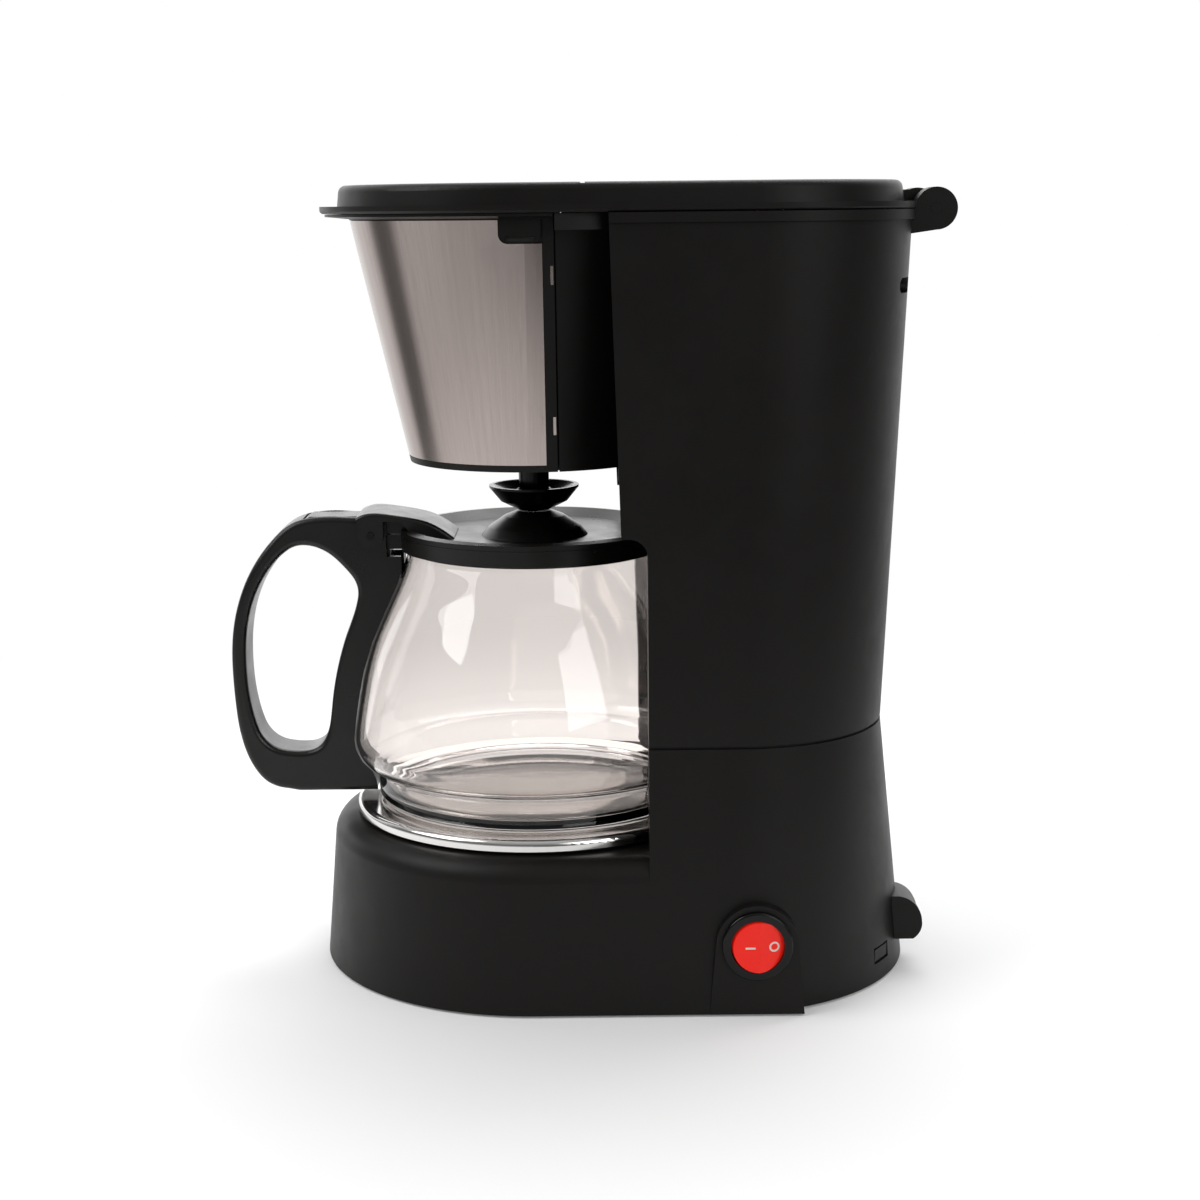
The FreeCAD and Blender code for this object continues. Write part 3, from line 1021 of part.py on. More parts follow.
def lid():
    z0 = RIM_TOP_Z + GAP_REST
    z1 = z0 + LID_FLANGE_T
    flange = oval_body((LID_FLANGE_HALF, LID_FLANGE_REAR, CORNER_R, z0),
                       (LID_FLANGE_HALF, LID_FLANGE_REAR, CORNER_R, z1))
    flange = flange.makeChamfer(0.8, [e for e in flange.Edges if abs(e.BoundBox.ZMax - z0) < 1e-6])
    cap = oval_body((LID_TOP_HALF + 1.0, LID_TOP_REAR + 1.0, CORNER_R, z0),
                    (LID_TOP_HALF, LID_TOP_REAR, CORNER_R, HEIGHT))
    cap = cap.makeFillet(LID_EDGE_R, [e for e in cap.Edges if abs(e.BoundBox.ZMin - HEIGHT) < 1e-6])
    hollow = oval_body((LID_TOP_HALF - LID_WALL, LID_TOP_REAR - LID_WALL, CORNER_R - LID_WALL, z0 - 1.0),
                       (LID_TOP_HALF - LID_WALL, LID_TOP_REAR - LID_WALL, CORNER_R - LID_WALL,
                        HEIGHT - LID_WALL))
    body = join([flange, cap]).cut(hollow)
    body = body.cut(box(-WIDE, WIDE, LID_GROOVE_Y - LID_GROOVE_W / 2, LID_GROOVE_Y + LID_GROOVE_W / 2,
                        HEIGHT - LID_GROOVE_D, HEIGHT + 1))
    x0 = EAR_X0 - GAP_SWING
    knuckle = rod((-x0, LID_PIN_Y, LID_PIN_Z), (x0, LID_PIN_Y, LID_PIN_Z), EAR_R - 0.8)
    web = box(-x0, x0, LID_FLANGE_REAR - 6.0, LID_PIN_Y, z0 + 0.6, LID_PIN_Z + EAR_R - 0.8)
    arm = join([knuckle, web]).cut(hollow)
    body = join([body, arm])
    clear = [box(s * EAR_X0 - GAP_SWING if s > 0 else -EAR_X1 - GAP_SWING, EAR_X1 + GAP_SWING
                 if s > 0 else -EAR_X0 + GAP_SWING,
                 LID_PIN_Y - EAR_R - GAP_SWING, LID_PIN_Y + 20, 0, FAR) for s in (1, -1)]
    for c in clear:
        body = body.cut(c)
    return body.cut(rod((-x0 - 1, LID_PIN_Y, LID_PIN_Z), (x0 + 1, LID_PIN_Y, LID_PIN_Z),
                        LID_PIN_R + GAP_FIT))


def lid_pin():
    return rod((-EAR_X1, LID_PIN_Y, LID_PIN_Z), (EAR_X1, LID_PIN_Y, LID_PIN_Z), LID_PIN_R)


def carafe_glass():
    def wall(points):
        c = Part.BSplineCurve()
        c.interpolate([V(r, 0, z) for r, z in points])
        return c.toShape()
    out = GLASS_PROFILE + [(NECK_R, COLLAR_Z0)]
    floor = GLASS_INNER[0][1]
    inner = GLASS_INNER + [(r - GLASS_T, z + 0.6) for r, z in out[8:-1]] + [(NECK_R - GLASS_T, COLLAR_Z0)]
    edges = [
        Part.LineSegment(V(0, 0, out[0][1]), V(out[0][0], 0, out[0][1])).toShape(),
        wall(out),
        Part.LineSegment(V(NECK_R, 0, COLLAR_Z0), V(NECK_R, 0, NECK_TOP_Z)).toShape(),
        Part.LineSegment(V(NECK_R, 0, NECK_TOP_Z), V(NECK_R - GLASS_T, 0, NECK_TOP_Z)).toShape(),
        Part.LineSegment(V(NECK_R - GLASS_T, 0, NECK_TOP_Z), V(NECK_R - GLASS_T, 0, COLLAR_Z0)).toShape(),
        wall(inner),
        Part.LineSegment(V(inner[0][0], 0, floor), V(0, 0, floor)).toShape(),
        Part.LineSegment(V(0, 0, floor), V(0, 0, out[0][1])).toShape(),
    ]
    face = Part.Face(Part.Wire(Part.__sortEdges__(edges)))
    return face.revolve(V(0, 0, 0), V(0, 0, 1), 360.0)


def carafe_collar():
    inner = NECK_R + GAP_FIT
    ring = cyl(inner + COLLAR_T, COLLAR_Z0 + 0.3, COLLAR_Z1).cut(cyl(inner, COLLAR_Z0 - 1, COLLAR_Z1 + 1))
    tab_y = -COLLAR_TAB_Y
    tab = box(-COLLAR_TAB_HALF, COLLAR_TAB_HALF, tab_y, tab_y + HANDLE_TAB_T, HANDLE_SCREW_Z - 5.0,
              COLLAR_Z1)
    link = box(-COLLAR_TAB_HALF, COLLAR_TAB_HALF, tab_y, -inner - 0.5, COLLAR_Z0 + 0.3, COLLAR_Z1)
    body = join([ring, tab, link]).cut(cyl(inner, COLLAR_Z0 - 1, COLLAR_Z1 + 1))
    reach = LEVER_HALF + GAP_SWING
    body = body.cut(rod((-reach, CARAFE_PIN_Y, CARAFE_PIN_Z), (reach, CARAFE_PIN_Y, CARAFE_PIN_Z),
                        HINGE_BOSS_R + GAP_SLIDE))
    return body.cut(rod((0, tab_y - 2, HANDLE_SCREW_Z), (0, tab_y + 6, HANDLE_SCREW_Z),
                        HANDLE_SCREW_R + GAP_FIT))


def soft_curve(points, closed):
    c = Part.BSplineCurve()
    knots = [V(0, y, z) for y, z in points]
    if closed:
        c.interpolate(knots, True)
    else:
        c.interpolate(Points=knots, InitialTangent=V(0, -HANDLE_PULL, 0), FinalTangent=V(0, HANDLE_PULL, 0))
    return [arc.toShape() for arc in c.toBiArcs(0.1)]


def flat_edges(body, x):
    return [e for e in body.Edges if e.BoundBox.XLength < 1e-6 and abs(abs(e.BoundBox.XMin) - x) < 1e-6]


def carafe_handle():
    (y0, z0), (y1, z1) = HANDLE_OUTER[0], HANDLE_OUTER[-1]
    root = -HANDLE_ROOT_Y
    edges = [Part.LineSegment(V(0, root, z0), V(0, y0, z0)).toShape()] + soft_curve(HANDLE_OUTER, False)
    edges += [Part.LineSegment(V(0, y1, z1), V(0, root, z1)).toShape(),
              Part.LineSegment(V(0, root, z1), V(0, root, z0)).toShape()]
    body = side_profile(Part.Wire(Part.__sortEdges__(edges)), -HANDLE_HALF, HANDLE_HALF)
    body = body.makeFillet(HANDLE_EDGE_R, [e for e in flat_edges(body, HANDLE_HALF)
                                           if e.BoundBox.YMin < root - 1.0])
    hole = Part.Wire(Part.__sortEdges__(soft_curve(HANDLE_HOLE, True)))
    reach = hole.BoundBox
    body = body.cut(side_profile(hole, -HANDLE_HALF - 5.0, HANDLE_HALF + 5.0))
    rim = [e for e in flat_edges(body, HANDLE_HALF) if e.BoundBox.YMin > reach.YMin - 0.1
           and e.BoundBox.YMax < reach.YMax + 0.1
           and e.BoundBox.ZMin > reach.ZMin - 0.1 and e.BoundBox.ZMax < reach.ZMax + 0.1]
    body = body.makeFillet(HANDLE_EDGE_R, rim)
    bowl = turned([(r + HANDLE_GAP, z) for r, z in GLASS_PROFILE] + [(0, GLASS_PROFILE[-1][1]),
            (0, GLASS_PROFILE[0][1])])
    body = body.cut(bowl).cut(cyl(NECK_R + COLLAR_T + 0.4, GLASS_PROFILE[-1][1] - 8.0, 200))
    body = body.cut(box(-COLLAR_TAB_HALF - GAP_SLIDE, COLLAR_TAB_HALF + GAP_SLIDE, -COLLAR_TAB_Y, 0,
                        HANDLE_SCREW_Z - 5.0 - GAP_SLIDE, 200))
    body = body.cut(box(-20, 20, -COLLAR_TAB_Y + 1.0, 0, COLLAR_Z0 - 2.0, 200))
    lever_slot = polygon_yz([(LEVER_END_Y - 0.5, LEVER_TOP + 5),
                             (LEVER_END_Y - 0.5, LEVER_TOP - LEVER_T - 0.5),
                             (CARAFE_PIN_Y - HINGE_BOSS_R - 0.5, CARAFE_PIN_Z),
                             (CARAFE_PIN_Y - HINGE_BOSS_R - 0.5, COLLAR_Z0 - 0.3),
                             (0, COLLAR_Z0 - 0.3), (0, LEVER_TOP + 5)], -LEVER_HALF - 0.4, LEVER_HALF + 0.4)
    body = body.cut(lever_slot)
    body = body.cut(box(-WIDE, WIDE, TAIL_PROFILE[0][0] - GAP_REST, 0, TAIL_UNDER_Z - GAP_REST, FAR))
    body = body.cut(rod((-20, CARAFE_PIN_Y, CARAFE_PIN_Z), (20, CARAFE_PIN_Y, CARAFE_PIN_Z),
                        CARAFE_PIN_R + GAP_FIT))
    body = body.cut(rod((0, -90, HANDLE_SCREW_Z), (0, -40, HANDLE_SCREW_Z), HANDLE_SCREW_R + GAP_SLIDE))
    body = body.cut(rod((0, -90, HANDLE_SCREW_Z), (0, SCREW_SEAT_Y, HANDLE_SCREW_Z), HANDLE_SCREW_R + 2.0))
    return body


def handle_screw():
    return join([rod((0, SCREW_SEAT_Y - 2.2, HANDLE_SCREW_Z),
                     (0, -COLLAR_TAB_Y + HANDLE_TAB_T, HANDLE_SCREW_Z), HANDLE_SCREW_R),
                 rod((0, SCREW_SEAT_Y - 2.2, HANDLE_SCREW_Z), (0, SCREW_SEAT_Y, HANDLE_SCREW_Z),
                     HANDLE_SCREW_R + 1.7)])


def lid_tail():
    low, y0, y1 = TAIL_UNDER_Z, CARAFE_PIN_Y - TAIL_EAR_R, CARAFE_PIN_Y + TAIL_EAR_R
    crown = Part.BSplineCurve()
    crown.interpolate([V(0, y, z) for y, z in TAIL_PROFILE])
    corners = [V(0, *TAIL_PROFILE[-1]), V(0, TAIL_PROFILE[-1][0], DISH_Z), V(0, -CARAFE_LID_R + 6.0, DISH_Z),
               V(0, -CARAFE_LID_R + 1.0, low), V(0, TAIL_PROFILE[0][0], low), V(0, *TAIL_PROFILE[0])]
    edges = [crown.toShape()] + [Part.LineSegment(a, b).toShape() for a, b in zip(corners, corners[1:])]
    plate = side_profile(Part.Wire(Part.__sortEdges__(edges)), -TAIL_HALF, TAIL_HALF)
    plate = plate.makeFillet(TAIL_EDGE_R, [e for e in flat_edges(plate, TAIL_HALF)
                                           if e.BoundBox.ZMax > TAIL_PROFILE[1][1] - 0.5])
    ears = []
    for x0, x1 in ((-TAIL_HALF, TAIL_EAR_T - TAIL_HALF), (TAIL_HALF - TAIL_EAR_T, TAIL_HALF)):
        ears.append(box(x0, x1, y0, y1, CARAFE_PIN_Z, low + 0.5))
        ears.append(rod((x0, CARAFE_PIN_Y, CARAFE_PIN_Z), (x1, CARAFE_PIN_Y, CARAFE_PIN_Z), TAIL_EAR_R))
    return [plate] + ears


def carafe_lid():
    t = CARAFE_LID_T
    rest = COLLAR_Z1 + 0.1
    skirt_r = NECK_R - GLASS_T - GAP_SLIDE
    pts = [(0, DOME_TOP_Z), (DOME_TOP_R, DOME_TOP_Z), (DOME_TOP_R + 4.5, DOME_TOP_Z - 1.8),
           (DOME_R - 2.6, DISH_Z + 3.0), (DOME_R, DISH_Z),
           (CARAFE_LID_R - 9.0, DISH_Z + 0.6), (CARAFE_LID_R - 3.5, CARAFE_LID_RIM_Z),
           (CARAFE_LID_R, CARAFE_LID_RIM_Z - 0.4), (CARAFE_LID_R, rest),
           (skirt_r, rest), (skirt_r, SKIRT_Z), (skirt_r - t, SKIRT_Z), (skirt_r - t, DISH_Z - t),
           (DOME_R - t, DISH_Z - t), (DOME_R - 2.6 - t, DISH_Z + 3.0 - t),
           (DOME_TOP_R + 4.0 - t, DOME_TOP_Z - 1.8 - t), (0, DOME_TOP_Z - t)]
    body = turned(pts)
    arm = polygon_yz([(-CARAFE_LID_R + 6.0, CARAFE_LID_RIM_Z), (-CARAFE_LID_R - 1.0, LEVER_TOP),
                      (LEVER_END_Y + 2.0, LEVER_TOP), (LEVER_END_Y, LEVER_TOP - 1.0),
                      (LEVER_END_Y + 1.0, LEVER_TOP - LEVER_T),
                      (CARAFE_PIN_Y - HINGE_BOSS_R, LEVER_TOP - LEVER_T - 0.6),
                      (CARAFE_PIN_Y - HINGE_BOSS_R, CARAFE_PIN_Z), (CARAFE_PIN_Y, CARAFE_PIN_Z),
                      (-CARAFE_LID_R + 1.0, rest + GAP_REST)], -LEVER_HALF, LEVER_HALF)
    boss = rod((-LEVER_HALF, CARAFE_PIN_Y, CARAFE_PIN_Z), (LEVER_HALF, CARAFE_PIN_Y, CARAFE_PIN_Z),
               HINGE_BOSS_R)
    body = join([body, arm, boss] + lid_tail())
    return body.cut(rod((-20, CARAFE_PIN_Y, CARAFE_PIN_Z), (20, CARAFE_PIN_Y, CARAFE_PIN_Z),
                        CARAFE_PIN_R + GAP_FIT)).cut(
        cyl(NECK_R + 0.4, COLLAR_Z0 - 12, rest).cut(cyl(skirt_r + 0.01, COLLAR_Z0 - 13, rest + 1)))


def carafe_lid_pin():
    reach = TAIL_HALF + CARAFE_PIN_PROUD
    return rod((-reach, CARAFE_PIN_Y, CARAFE_PIN_Z), (reach, CARAFE_PIN_Y, CARAFE_PIN_Z), CARAFE_PIN_R)


MAKERS = [base_housing, base_plate, base_screws, feet, switch_body, switch_rocker, switch_terminals,
          cord_inlet,
          hot_plate, hot_plate_seal, heater_tube, heater_clamp, heater_nut, thermostat, thermal_fuse,
          cold_hose, hot_hose, hose_clips, one_way_valve, valve_ball, tower_housing, riser_grommet,
          riser_tube, spout_arm,
          basket_holder, steel_skin, swing_pin, filter_basket, filter_mesh, drip_valve, valve_seal,
          valve_spring,
          lid, lid_pin, carafe_glass, carafe_collar, carafe_handle, handle_screw, carafe_lid,
          carafe_lid_pin]


def export_all():
    os.makedirs("parts", exist_ok=True)
    for maker in MAKERS:
        shape = maker()
        shape.translate(V(0, SHIFT_Y, 0))
        shape.exportStep("parts/%s.step" % maker.__name__)


export_all()
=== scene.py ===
import json
import math

import bmesh
import bpy
from mathutils import Matrix, Vector
from mathutils.bvhtree import BVHTree


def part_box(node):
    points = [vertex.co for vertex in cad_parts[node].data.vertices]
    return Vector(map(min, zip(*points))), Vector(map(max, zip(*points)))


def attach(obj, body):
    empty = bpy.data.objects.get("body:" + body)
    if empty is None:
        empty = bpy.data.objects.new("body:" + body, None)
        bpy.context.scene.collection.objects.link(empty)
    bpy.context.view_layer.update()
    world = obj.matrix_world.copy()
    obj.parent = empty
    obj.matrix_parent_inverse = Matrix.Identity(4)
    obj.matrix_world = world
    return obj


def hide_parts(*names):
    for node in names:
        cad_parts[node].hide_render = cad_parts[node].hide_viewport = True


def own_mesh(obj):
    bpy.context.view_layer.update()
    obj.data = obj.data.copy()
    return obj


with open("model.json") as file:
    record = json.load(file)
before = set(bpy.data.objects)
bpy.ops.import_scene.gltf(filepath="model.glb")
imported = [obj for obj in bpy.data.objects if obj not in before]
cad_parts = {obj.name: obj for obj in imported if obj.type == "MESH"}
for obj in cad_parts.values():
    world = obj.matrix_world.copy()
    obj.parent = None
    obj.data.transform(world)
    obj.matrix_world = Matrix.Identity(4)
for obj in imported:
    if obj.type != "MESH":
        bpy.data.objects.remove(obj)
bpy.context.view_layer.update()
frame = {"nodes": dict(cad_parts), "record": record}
nodes = frame["nodes"]

# The jug, the warming plate and the filter cone share one upright axis; places are in metres
CARAFE_AXIS_Y = -0.0175
CARAFE_AXIS = (0.0, CARAFE_AXIS_Y, 0.0)
FRAME_ORIGIN = (0.0, 0.0, 0.0)

CAMERA_PLACE = (0.7219, 0.0052, 0.263)
CAMERA_PITCH = 10.79
CAMERA_ROLL = 0.60
CAMERA_LENS = 62.3
CAMERA_SENSOR = 36.0
CAMERA_NEAR = 0.01


# Node helpers: a value is either a socket to link or a plain number or colour to set

def add(tree, kind, **values):
    node = tree.nodes.new(kind)
    for name, value in values.items():
        setattr(node, name, value)
    return node


def feed(tree, value, socket):
    if hasattr(value, "is_linked"):
        tree.links.new(value, socket)
    else:
        socket.default_value = value


def noise(tree, vector, scale, detail=2.0, roughness=0.5):
    node = add(tree, "ShaderNodeTexNoise")
    node.inputs["Detail"].default_value = detail
    node.inputs["Roughness"].default_value = roughness
    feed(tree, vector, node.inputs["Vector"])
    feed(tree, scale, node.inputs["Scale"])
    return node.outputs["Fac"]


def math_node(tree, operation, a, b=None, clamp=False):
    node = add(tree, "ShaderNodeMath", operation=operation, use_clamp=clamp)
    feed(tree, a, node.inputs[0])
    if b is not None:
        feed(tree, b, node.inputs[1])
    return node.outputs[0]


def plus(tree, a, b):
    return math_node(tree, "ADD", a, b)


def times(tree, a, b, clamp=False):
    return math_node(tree, "MULTIPLY", a, b, clamp)


def larger(tree, a, b):
    return math_node(tree, "MAXIMUM", a, b)


def shares(tree, a, share_a, b, share_b):
    return plus(tree, times(tree, a, share_a), times(tree, b, share_b))


def span(tree, value, low, high, to_low, to_high, kind="SMOOTHSTEP"):
    node = add(tree, "ShaderNodeMapRange", interpolation_type=kind)
    feed(tree, value, node.inputs["Value"])
    feed(tree, low, node.inputs["From Min"])
    feed(tree, high, node.inputs["From Max"])
    feed(tree, to_low, node.inputs["To Min"])
    feed(tree, to_high, node.inputs["To Max"])
    return node.outputs["Result"]


def mix_colour(tree, factor, a, b):
    node = add(tree, "ShaderNodeMix", data_type="RGBA")
    feed(tree, factor, node.inputs[0])
    feed(tree, a, node.inputs[6])
    feed(tree, b, node.inputs[7])
    return node.outputs[2]


def object_place(tree):
    return add(tree, "ShaderNodeTexCoord").outputs["Object"]


def centred_place(tree, centre):
    place = add(tree, "ShaderNodeMapping")
    place.inputs["Location"].default_value = [-c for c in centre]
    tree.links.new(object_place(tree), place.inputs["Vector"])
    return place.outputs["Vector"]


def parts_of(tree, vector):
    split = add(tree, "ShaderNodeSeparateXYZ")
    tree.links.new(vector, split.inputs[0])
    return split.outputs


def turn_about_z(tree, parts):
    return math_node(tree, "ARCTAN2", parts["Y"], parts["X"])


# Shader groups shared by the finishes

def start_group(name, inputs, outputs):
    tree = bpy.data.node_groups.new(name, "ShaderNodeTree")
    for socket, kind, value in inputs:
        made = tree.interface.new_socket(socket, in_out="INPUT", socket_type=kind)
        if value is not None:
            made.default_value = value
    for socket, kind in outputs:
        tree.interface.new_socket(socket, in_out="OUTPUT", socket_type=kind)
    return tree, tree.nodes.new("NodeGroupInput"), tree.nodes.new("NodeGroupOutput")


def moulded_grain():
    tree, gin, gout = start_group(
        "moulded_grain",
        [("Colour", "NodeSocketColor", (0.02, 0.02, 0.02, 1)),
         ("Grain Scale", "NodeSocketFloat", 2400.0),
         ("Smooth Roughness", "NodeSocketFloat", 0.4),
         ("Worn Roughness", "NodeSocketFloat", 0.55),
         ("Tone", "NodeSocketFloat", 0.25)],
        [("Colour", "NodeSocketColor"), ("Roughness", "NodeSocketFloat"), ("Height", "NodeSocketFloat")])
    cloud_scale, smear_scale, tone_swing = 26.0, 95.0, 4.0
    place = object_place(tree)
    grain = noise(tree, place, gin.outputs["Grain Scale"], 3.0, 0.6)
    cloud = noise(tree, place, cloud_scale, 4.0, 0.55)
    smear = noise(tree, place, smear_scale, 3.0, 0.6)
    signed = math_node(tree, "SUBTRACT", shares(tree, cloud, 0.6, grain, 0.4), 0.5)
    swing = times(tree, gin.outputs["Tone"], tone_swing)
    gain = plus(tree, times(tree, signed, swing), 1.0)
    scaled = add(tree, "ShaderNodeVectorMath", operation="SCALE")
    tree.links.new(gin.outputs["Colour"], scaled.inputs[0])
    tree.links.new(gain, scaled.inputs["Scale"])
    wear = shares(tree, cloud, 0.5, smear, 0.5)
    rough = span(tree, wear, 0.35, 0.65, gin.outputs["Smooth Roughness"], gin.outputs["Worn Roughness"])
    tree.links.new(scaled.outputs[0], gout.inputs["Colour"])
    tree.links.new(rough, gout.inputs["Roughness"])
    tree.links.new(grain, gout.inputs["Height"])
    return tree


def settled_dust():
    tree, gin, gout = start_group(
        "settled_dust",
        [("Amount", "NodeSocketFloat", 0.04)], [("Mask", "NodeSocketFloat")])
    speck_scale, veil_scale = 900.0, 30.0
    place = object_place(tree)
    normal = parts_of(tree, add(tree, "ShaderNodeNewGeometry").outputs["Normal"])
    upward = span(tree, normal["Z"], 0.55, 0.95, 0.0, 1.0)
    specks = span(tree, noise(tree, place, speck_scale, 2.0), 0.55, 0.75, 0.0, 1.0)
    veil = span(tree, noise(tree, place, veil_scale, 3.0), 0.35, 0.7, 0.1, 0.6)
    spread = plus(tree, times(tree, specks, 0.5), veil)
    mask = times(tree, times(tree, upward, spread), gin.outputs["Amount"], True)
    tree.links.new(mask, gout.inputs["Mask"])
    return tree


def brushed_lines():
    tree, gin, gout = start_group(
        "brushed_lines",
        [("Vector", "NodeSocketVector", None),
         ("Run", "NodeSocketFloat", 0.02),
         ("Fineness", "NodeSocketFloat", 4500.0)],
        [("Tone", "NodeSocketFloat"), ("Height", "NodeSocketFloat")])
    mean_radius, broad_share = 0.055, 0.12
    parts = parts_of(tree, gin.outputs["Vector"])
    joined = add(tree, "ShaderNodeCombineXYZ")
    tree.links.new(times(tree, turn_about_z(tree, parts), mean_radius), joined.inputs["X"])
    tree.links.new(times(tree, parts["Z"], gin.outputs["Run"]), joined.inputs["Z"])
    fine = noise(tree, joined.outputs[0], gin.outputs["Fineness"], 3.0, 0.65)
    broad = noise(tree, joined.outputs[0], times(tree, gin.outputs["Fineness"], broad_share), 2.0)
    tree.links.new(shares(tree, fine, 0.65, broad, 0.35), gout.inputs["Tone"])
    tree.links.new(fine, gout.inputs["Height"])
    return tree


def spun_lines():
    tree, gin, gout = start_group(
        "spun_lines",
        [("Vector", "NodeSocketVector", None), ("Fineness", "NodeSocketFloat", 2600.0)],
        [("Tone", "NodeSocketFloat"), ("Height", "NodeSocketFloat")])
    drift = 0.0006
    parts = parts_of(tree, gin.outputs["Vector"])
    square_x, square_y = (math_node(tree, "POWER", math_node(tree, "ABSOLUTE", parts[axis]), 2.0) for axis in "XY")
    joined = add(tree, "ShaderNodeCombineXYZ")
    tree.links.new(math_node(tree, "SQRT", plus(tree, square_x, square_y)), joined.inputs["X"])
    tree.links.new(times(tree, turn_about_z(tree, parts), drift), joined.inputs["Y"])
    fine = noise(tree, joined.outputs[0], gin.outputs["Fineness"], 3.0, 0.6)
    tree.links.new(fine, gout.inputs["Tone"])
    tree.links.new(fine, gout.inputs["Height"])
    return tree


GRAIN = moulded_grain()
DUST = settled_dust()
BRUSHED = brushed_lines()
SPUN = spun_lines()
DUST_COLOUR = (0.42, 0.40, 0.37, 1)


# Finishes

def finish_named(name):
    mat = bpy.data.materials.new(name)
    mat.use_nodes = True
    tree = mat.node_tree
    tree.nodes.clear()
    out = tree.nodes.new("ShaderNodeOutputMaterial")
    shader = tree.nodes.new("ShaderNodeBsdfPrincipled")
    tree.links.new(shader.outputs["BSDF"], out.inputs["Surface"])
    return mat, tree, shader


def use_group(tree, group, **values):
    node = add(tree, "ShaderNodeGroup", node_tree=group)
    for name, value in values.items():
        node.inputs[name.replace("_", " ")].default_value = value
    return node


def bump(tree, shader, height, strength, distance):
    node = add(tree, "ShaderNodeBump")
    node.inputs["Strength"].default_value = strength
    node.inputs["Distance"].default_value = distance
    tree.links.new(height, node.inputs["Height"])
    tree.links.new(node.outputs["Normal"], shader.inputs["Normal"])


def plastic(name, colour, smooth, worn, grain=2400.0, depth=0.00006, tone=0.25, specular=0.35, dust=0.03):
    mat, tree, shader = finish_named(name)
    body = use_group(tree, GRAIN, Colour=(*colour, 1), Grain_Scale=grain, Smooth_Roughness=smooth,
                     Worn_Roughness=worn, Tone=tone)
    base = body.outputs["Colour"]
    if dust:
        mask = use_group(tree, DUST, Amount=dust).outputs["Mask"]
        base = mix_colour(tree, mask, base, DUST_COLOUR)
    tree.links.new(base, shader.inputs["Base Color"])
    tree.links.new(body.outputs["Roughness"], shader.inputs["Roughness"])
    shader.inputs["Specular IOR Level"].default_value = specular
    bump(tree, shader, body.outputs["Height"], 0.5, depth)
    return mat


def metal(name, group, centre, low, high, smooth, rough, **values):
    mat, tree, shader = finish_named(name)
    lines = use_group(tree, group, **values)
    tree.links.new(centred_place(tree, centre), lines.inputs["Vector"])
    tone = lines.outputs["Tone"]
    tree.links.new(mix_colour(tree, tone, (*low, 1), (*high, 1)), shader.inputs["Base Color"])
    tree.links.new(span(tree, tone, 0.25, 0.75, rough, smooth), shader.inputs["Roughness"])
    shader.inputs["Metallic"].default_value = 1.0
    bump(tree, shader, lines.outputs["Height"], 0.35, 0.00002)
    return mat


def clear_glass():
    mat, tree, shader = finish_named("jug_glass")
    shader.inputs["Base Color"].default_value = (0.932, 0.895, 0.875, 1)
    shader.inputs["Transmission Weight"].default_value = 1.0
    shader.inputs["IOR"].default_value = 1.47
    film_scale, wave_scale = 40.0, 22.0
    place = object_place(tree)
    film = span(tree, noise(tree, place, film_scale, 4.0, 0.6), 0.4, 0.75, 0.0, 0.035)
    tree.links.new(film, shader.inputs["Roughness"])
    bump(tree, shader, noise(tree, place, wave_scale, 1.0), 0.12, 0.0006)
    return mat


def red_rocker():
    mat, tree, shader = finish_named("rocker_red")
    body = use_group(tree, GRAIN, Colour=(0.86, 0.014, 0.007, 1), Grain_Scale=1500.0, Smooth_Roughness=0.16,
                     Worn_Roughness=0.26, Tone=0.12)
    tree.links.new(body.outputs["Colour"], shader.inputs["Base Color"])
    tree.links.new(body.outputs["Roughness"], shader.inputs["Roughness"])
    shader.inputs["Specular IOR Level"].default_value = 0.3
    # The emission is painted light: a faint red glow on the rocker, though no lamp is modelled in it
    shader.inputs["Emission Color"].default_value = (0.85, 0.02, 0.008, 1)
    shader.inputs["Emission Strength"].default_value = 0.18
    bump(tree, shader, body.outputs["Height"], 0.3, 0.00003)
    return mat


def woven_nylon():
    mat, tree, shader = finish_named("filter_net")
    threads_round, threads_up = 180.0, 4200.0
    gap_colour, thread_colour = (0.16, 0.12, 0.07, 1), (0.46, 0.38, 0.26, 1)
    parts = parts_of(tree, centred_place(tree, CARAFE_AXIS))
    turn = times(tree, turn_about_z(tree, parts), threads_round)
    rise = times(tree, parts["Z"], threads_up)
    across, along = (math_node(tree, "ABSOLUTE", math_node(tree, "SINE", wave)) for wave in (turn, rise))
    thread = larger(tree, across, along)
    tree.links.new(mix_colour(tree, thread, gap_colour, thread_colour), shader.inputs["Base Color"])
    tree.links.new(span(tree, thread, 0.4, 1.0, 0.7, 0.4), shader.inputs["Roughness"])
    tree.links.new(span(tree, thread, 0.55, 0.8, 0.25, 1.0), shader.inputs["Alpha"])
    bump(tree, shader, thread, 0.6, 0.0002)
    return mat


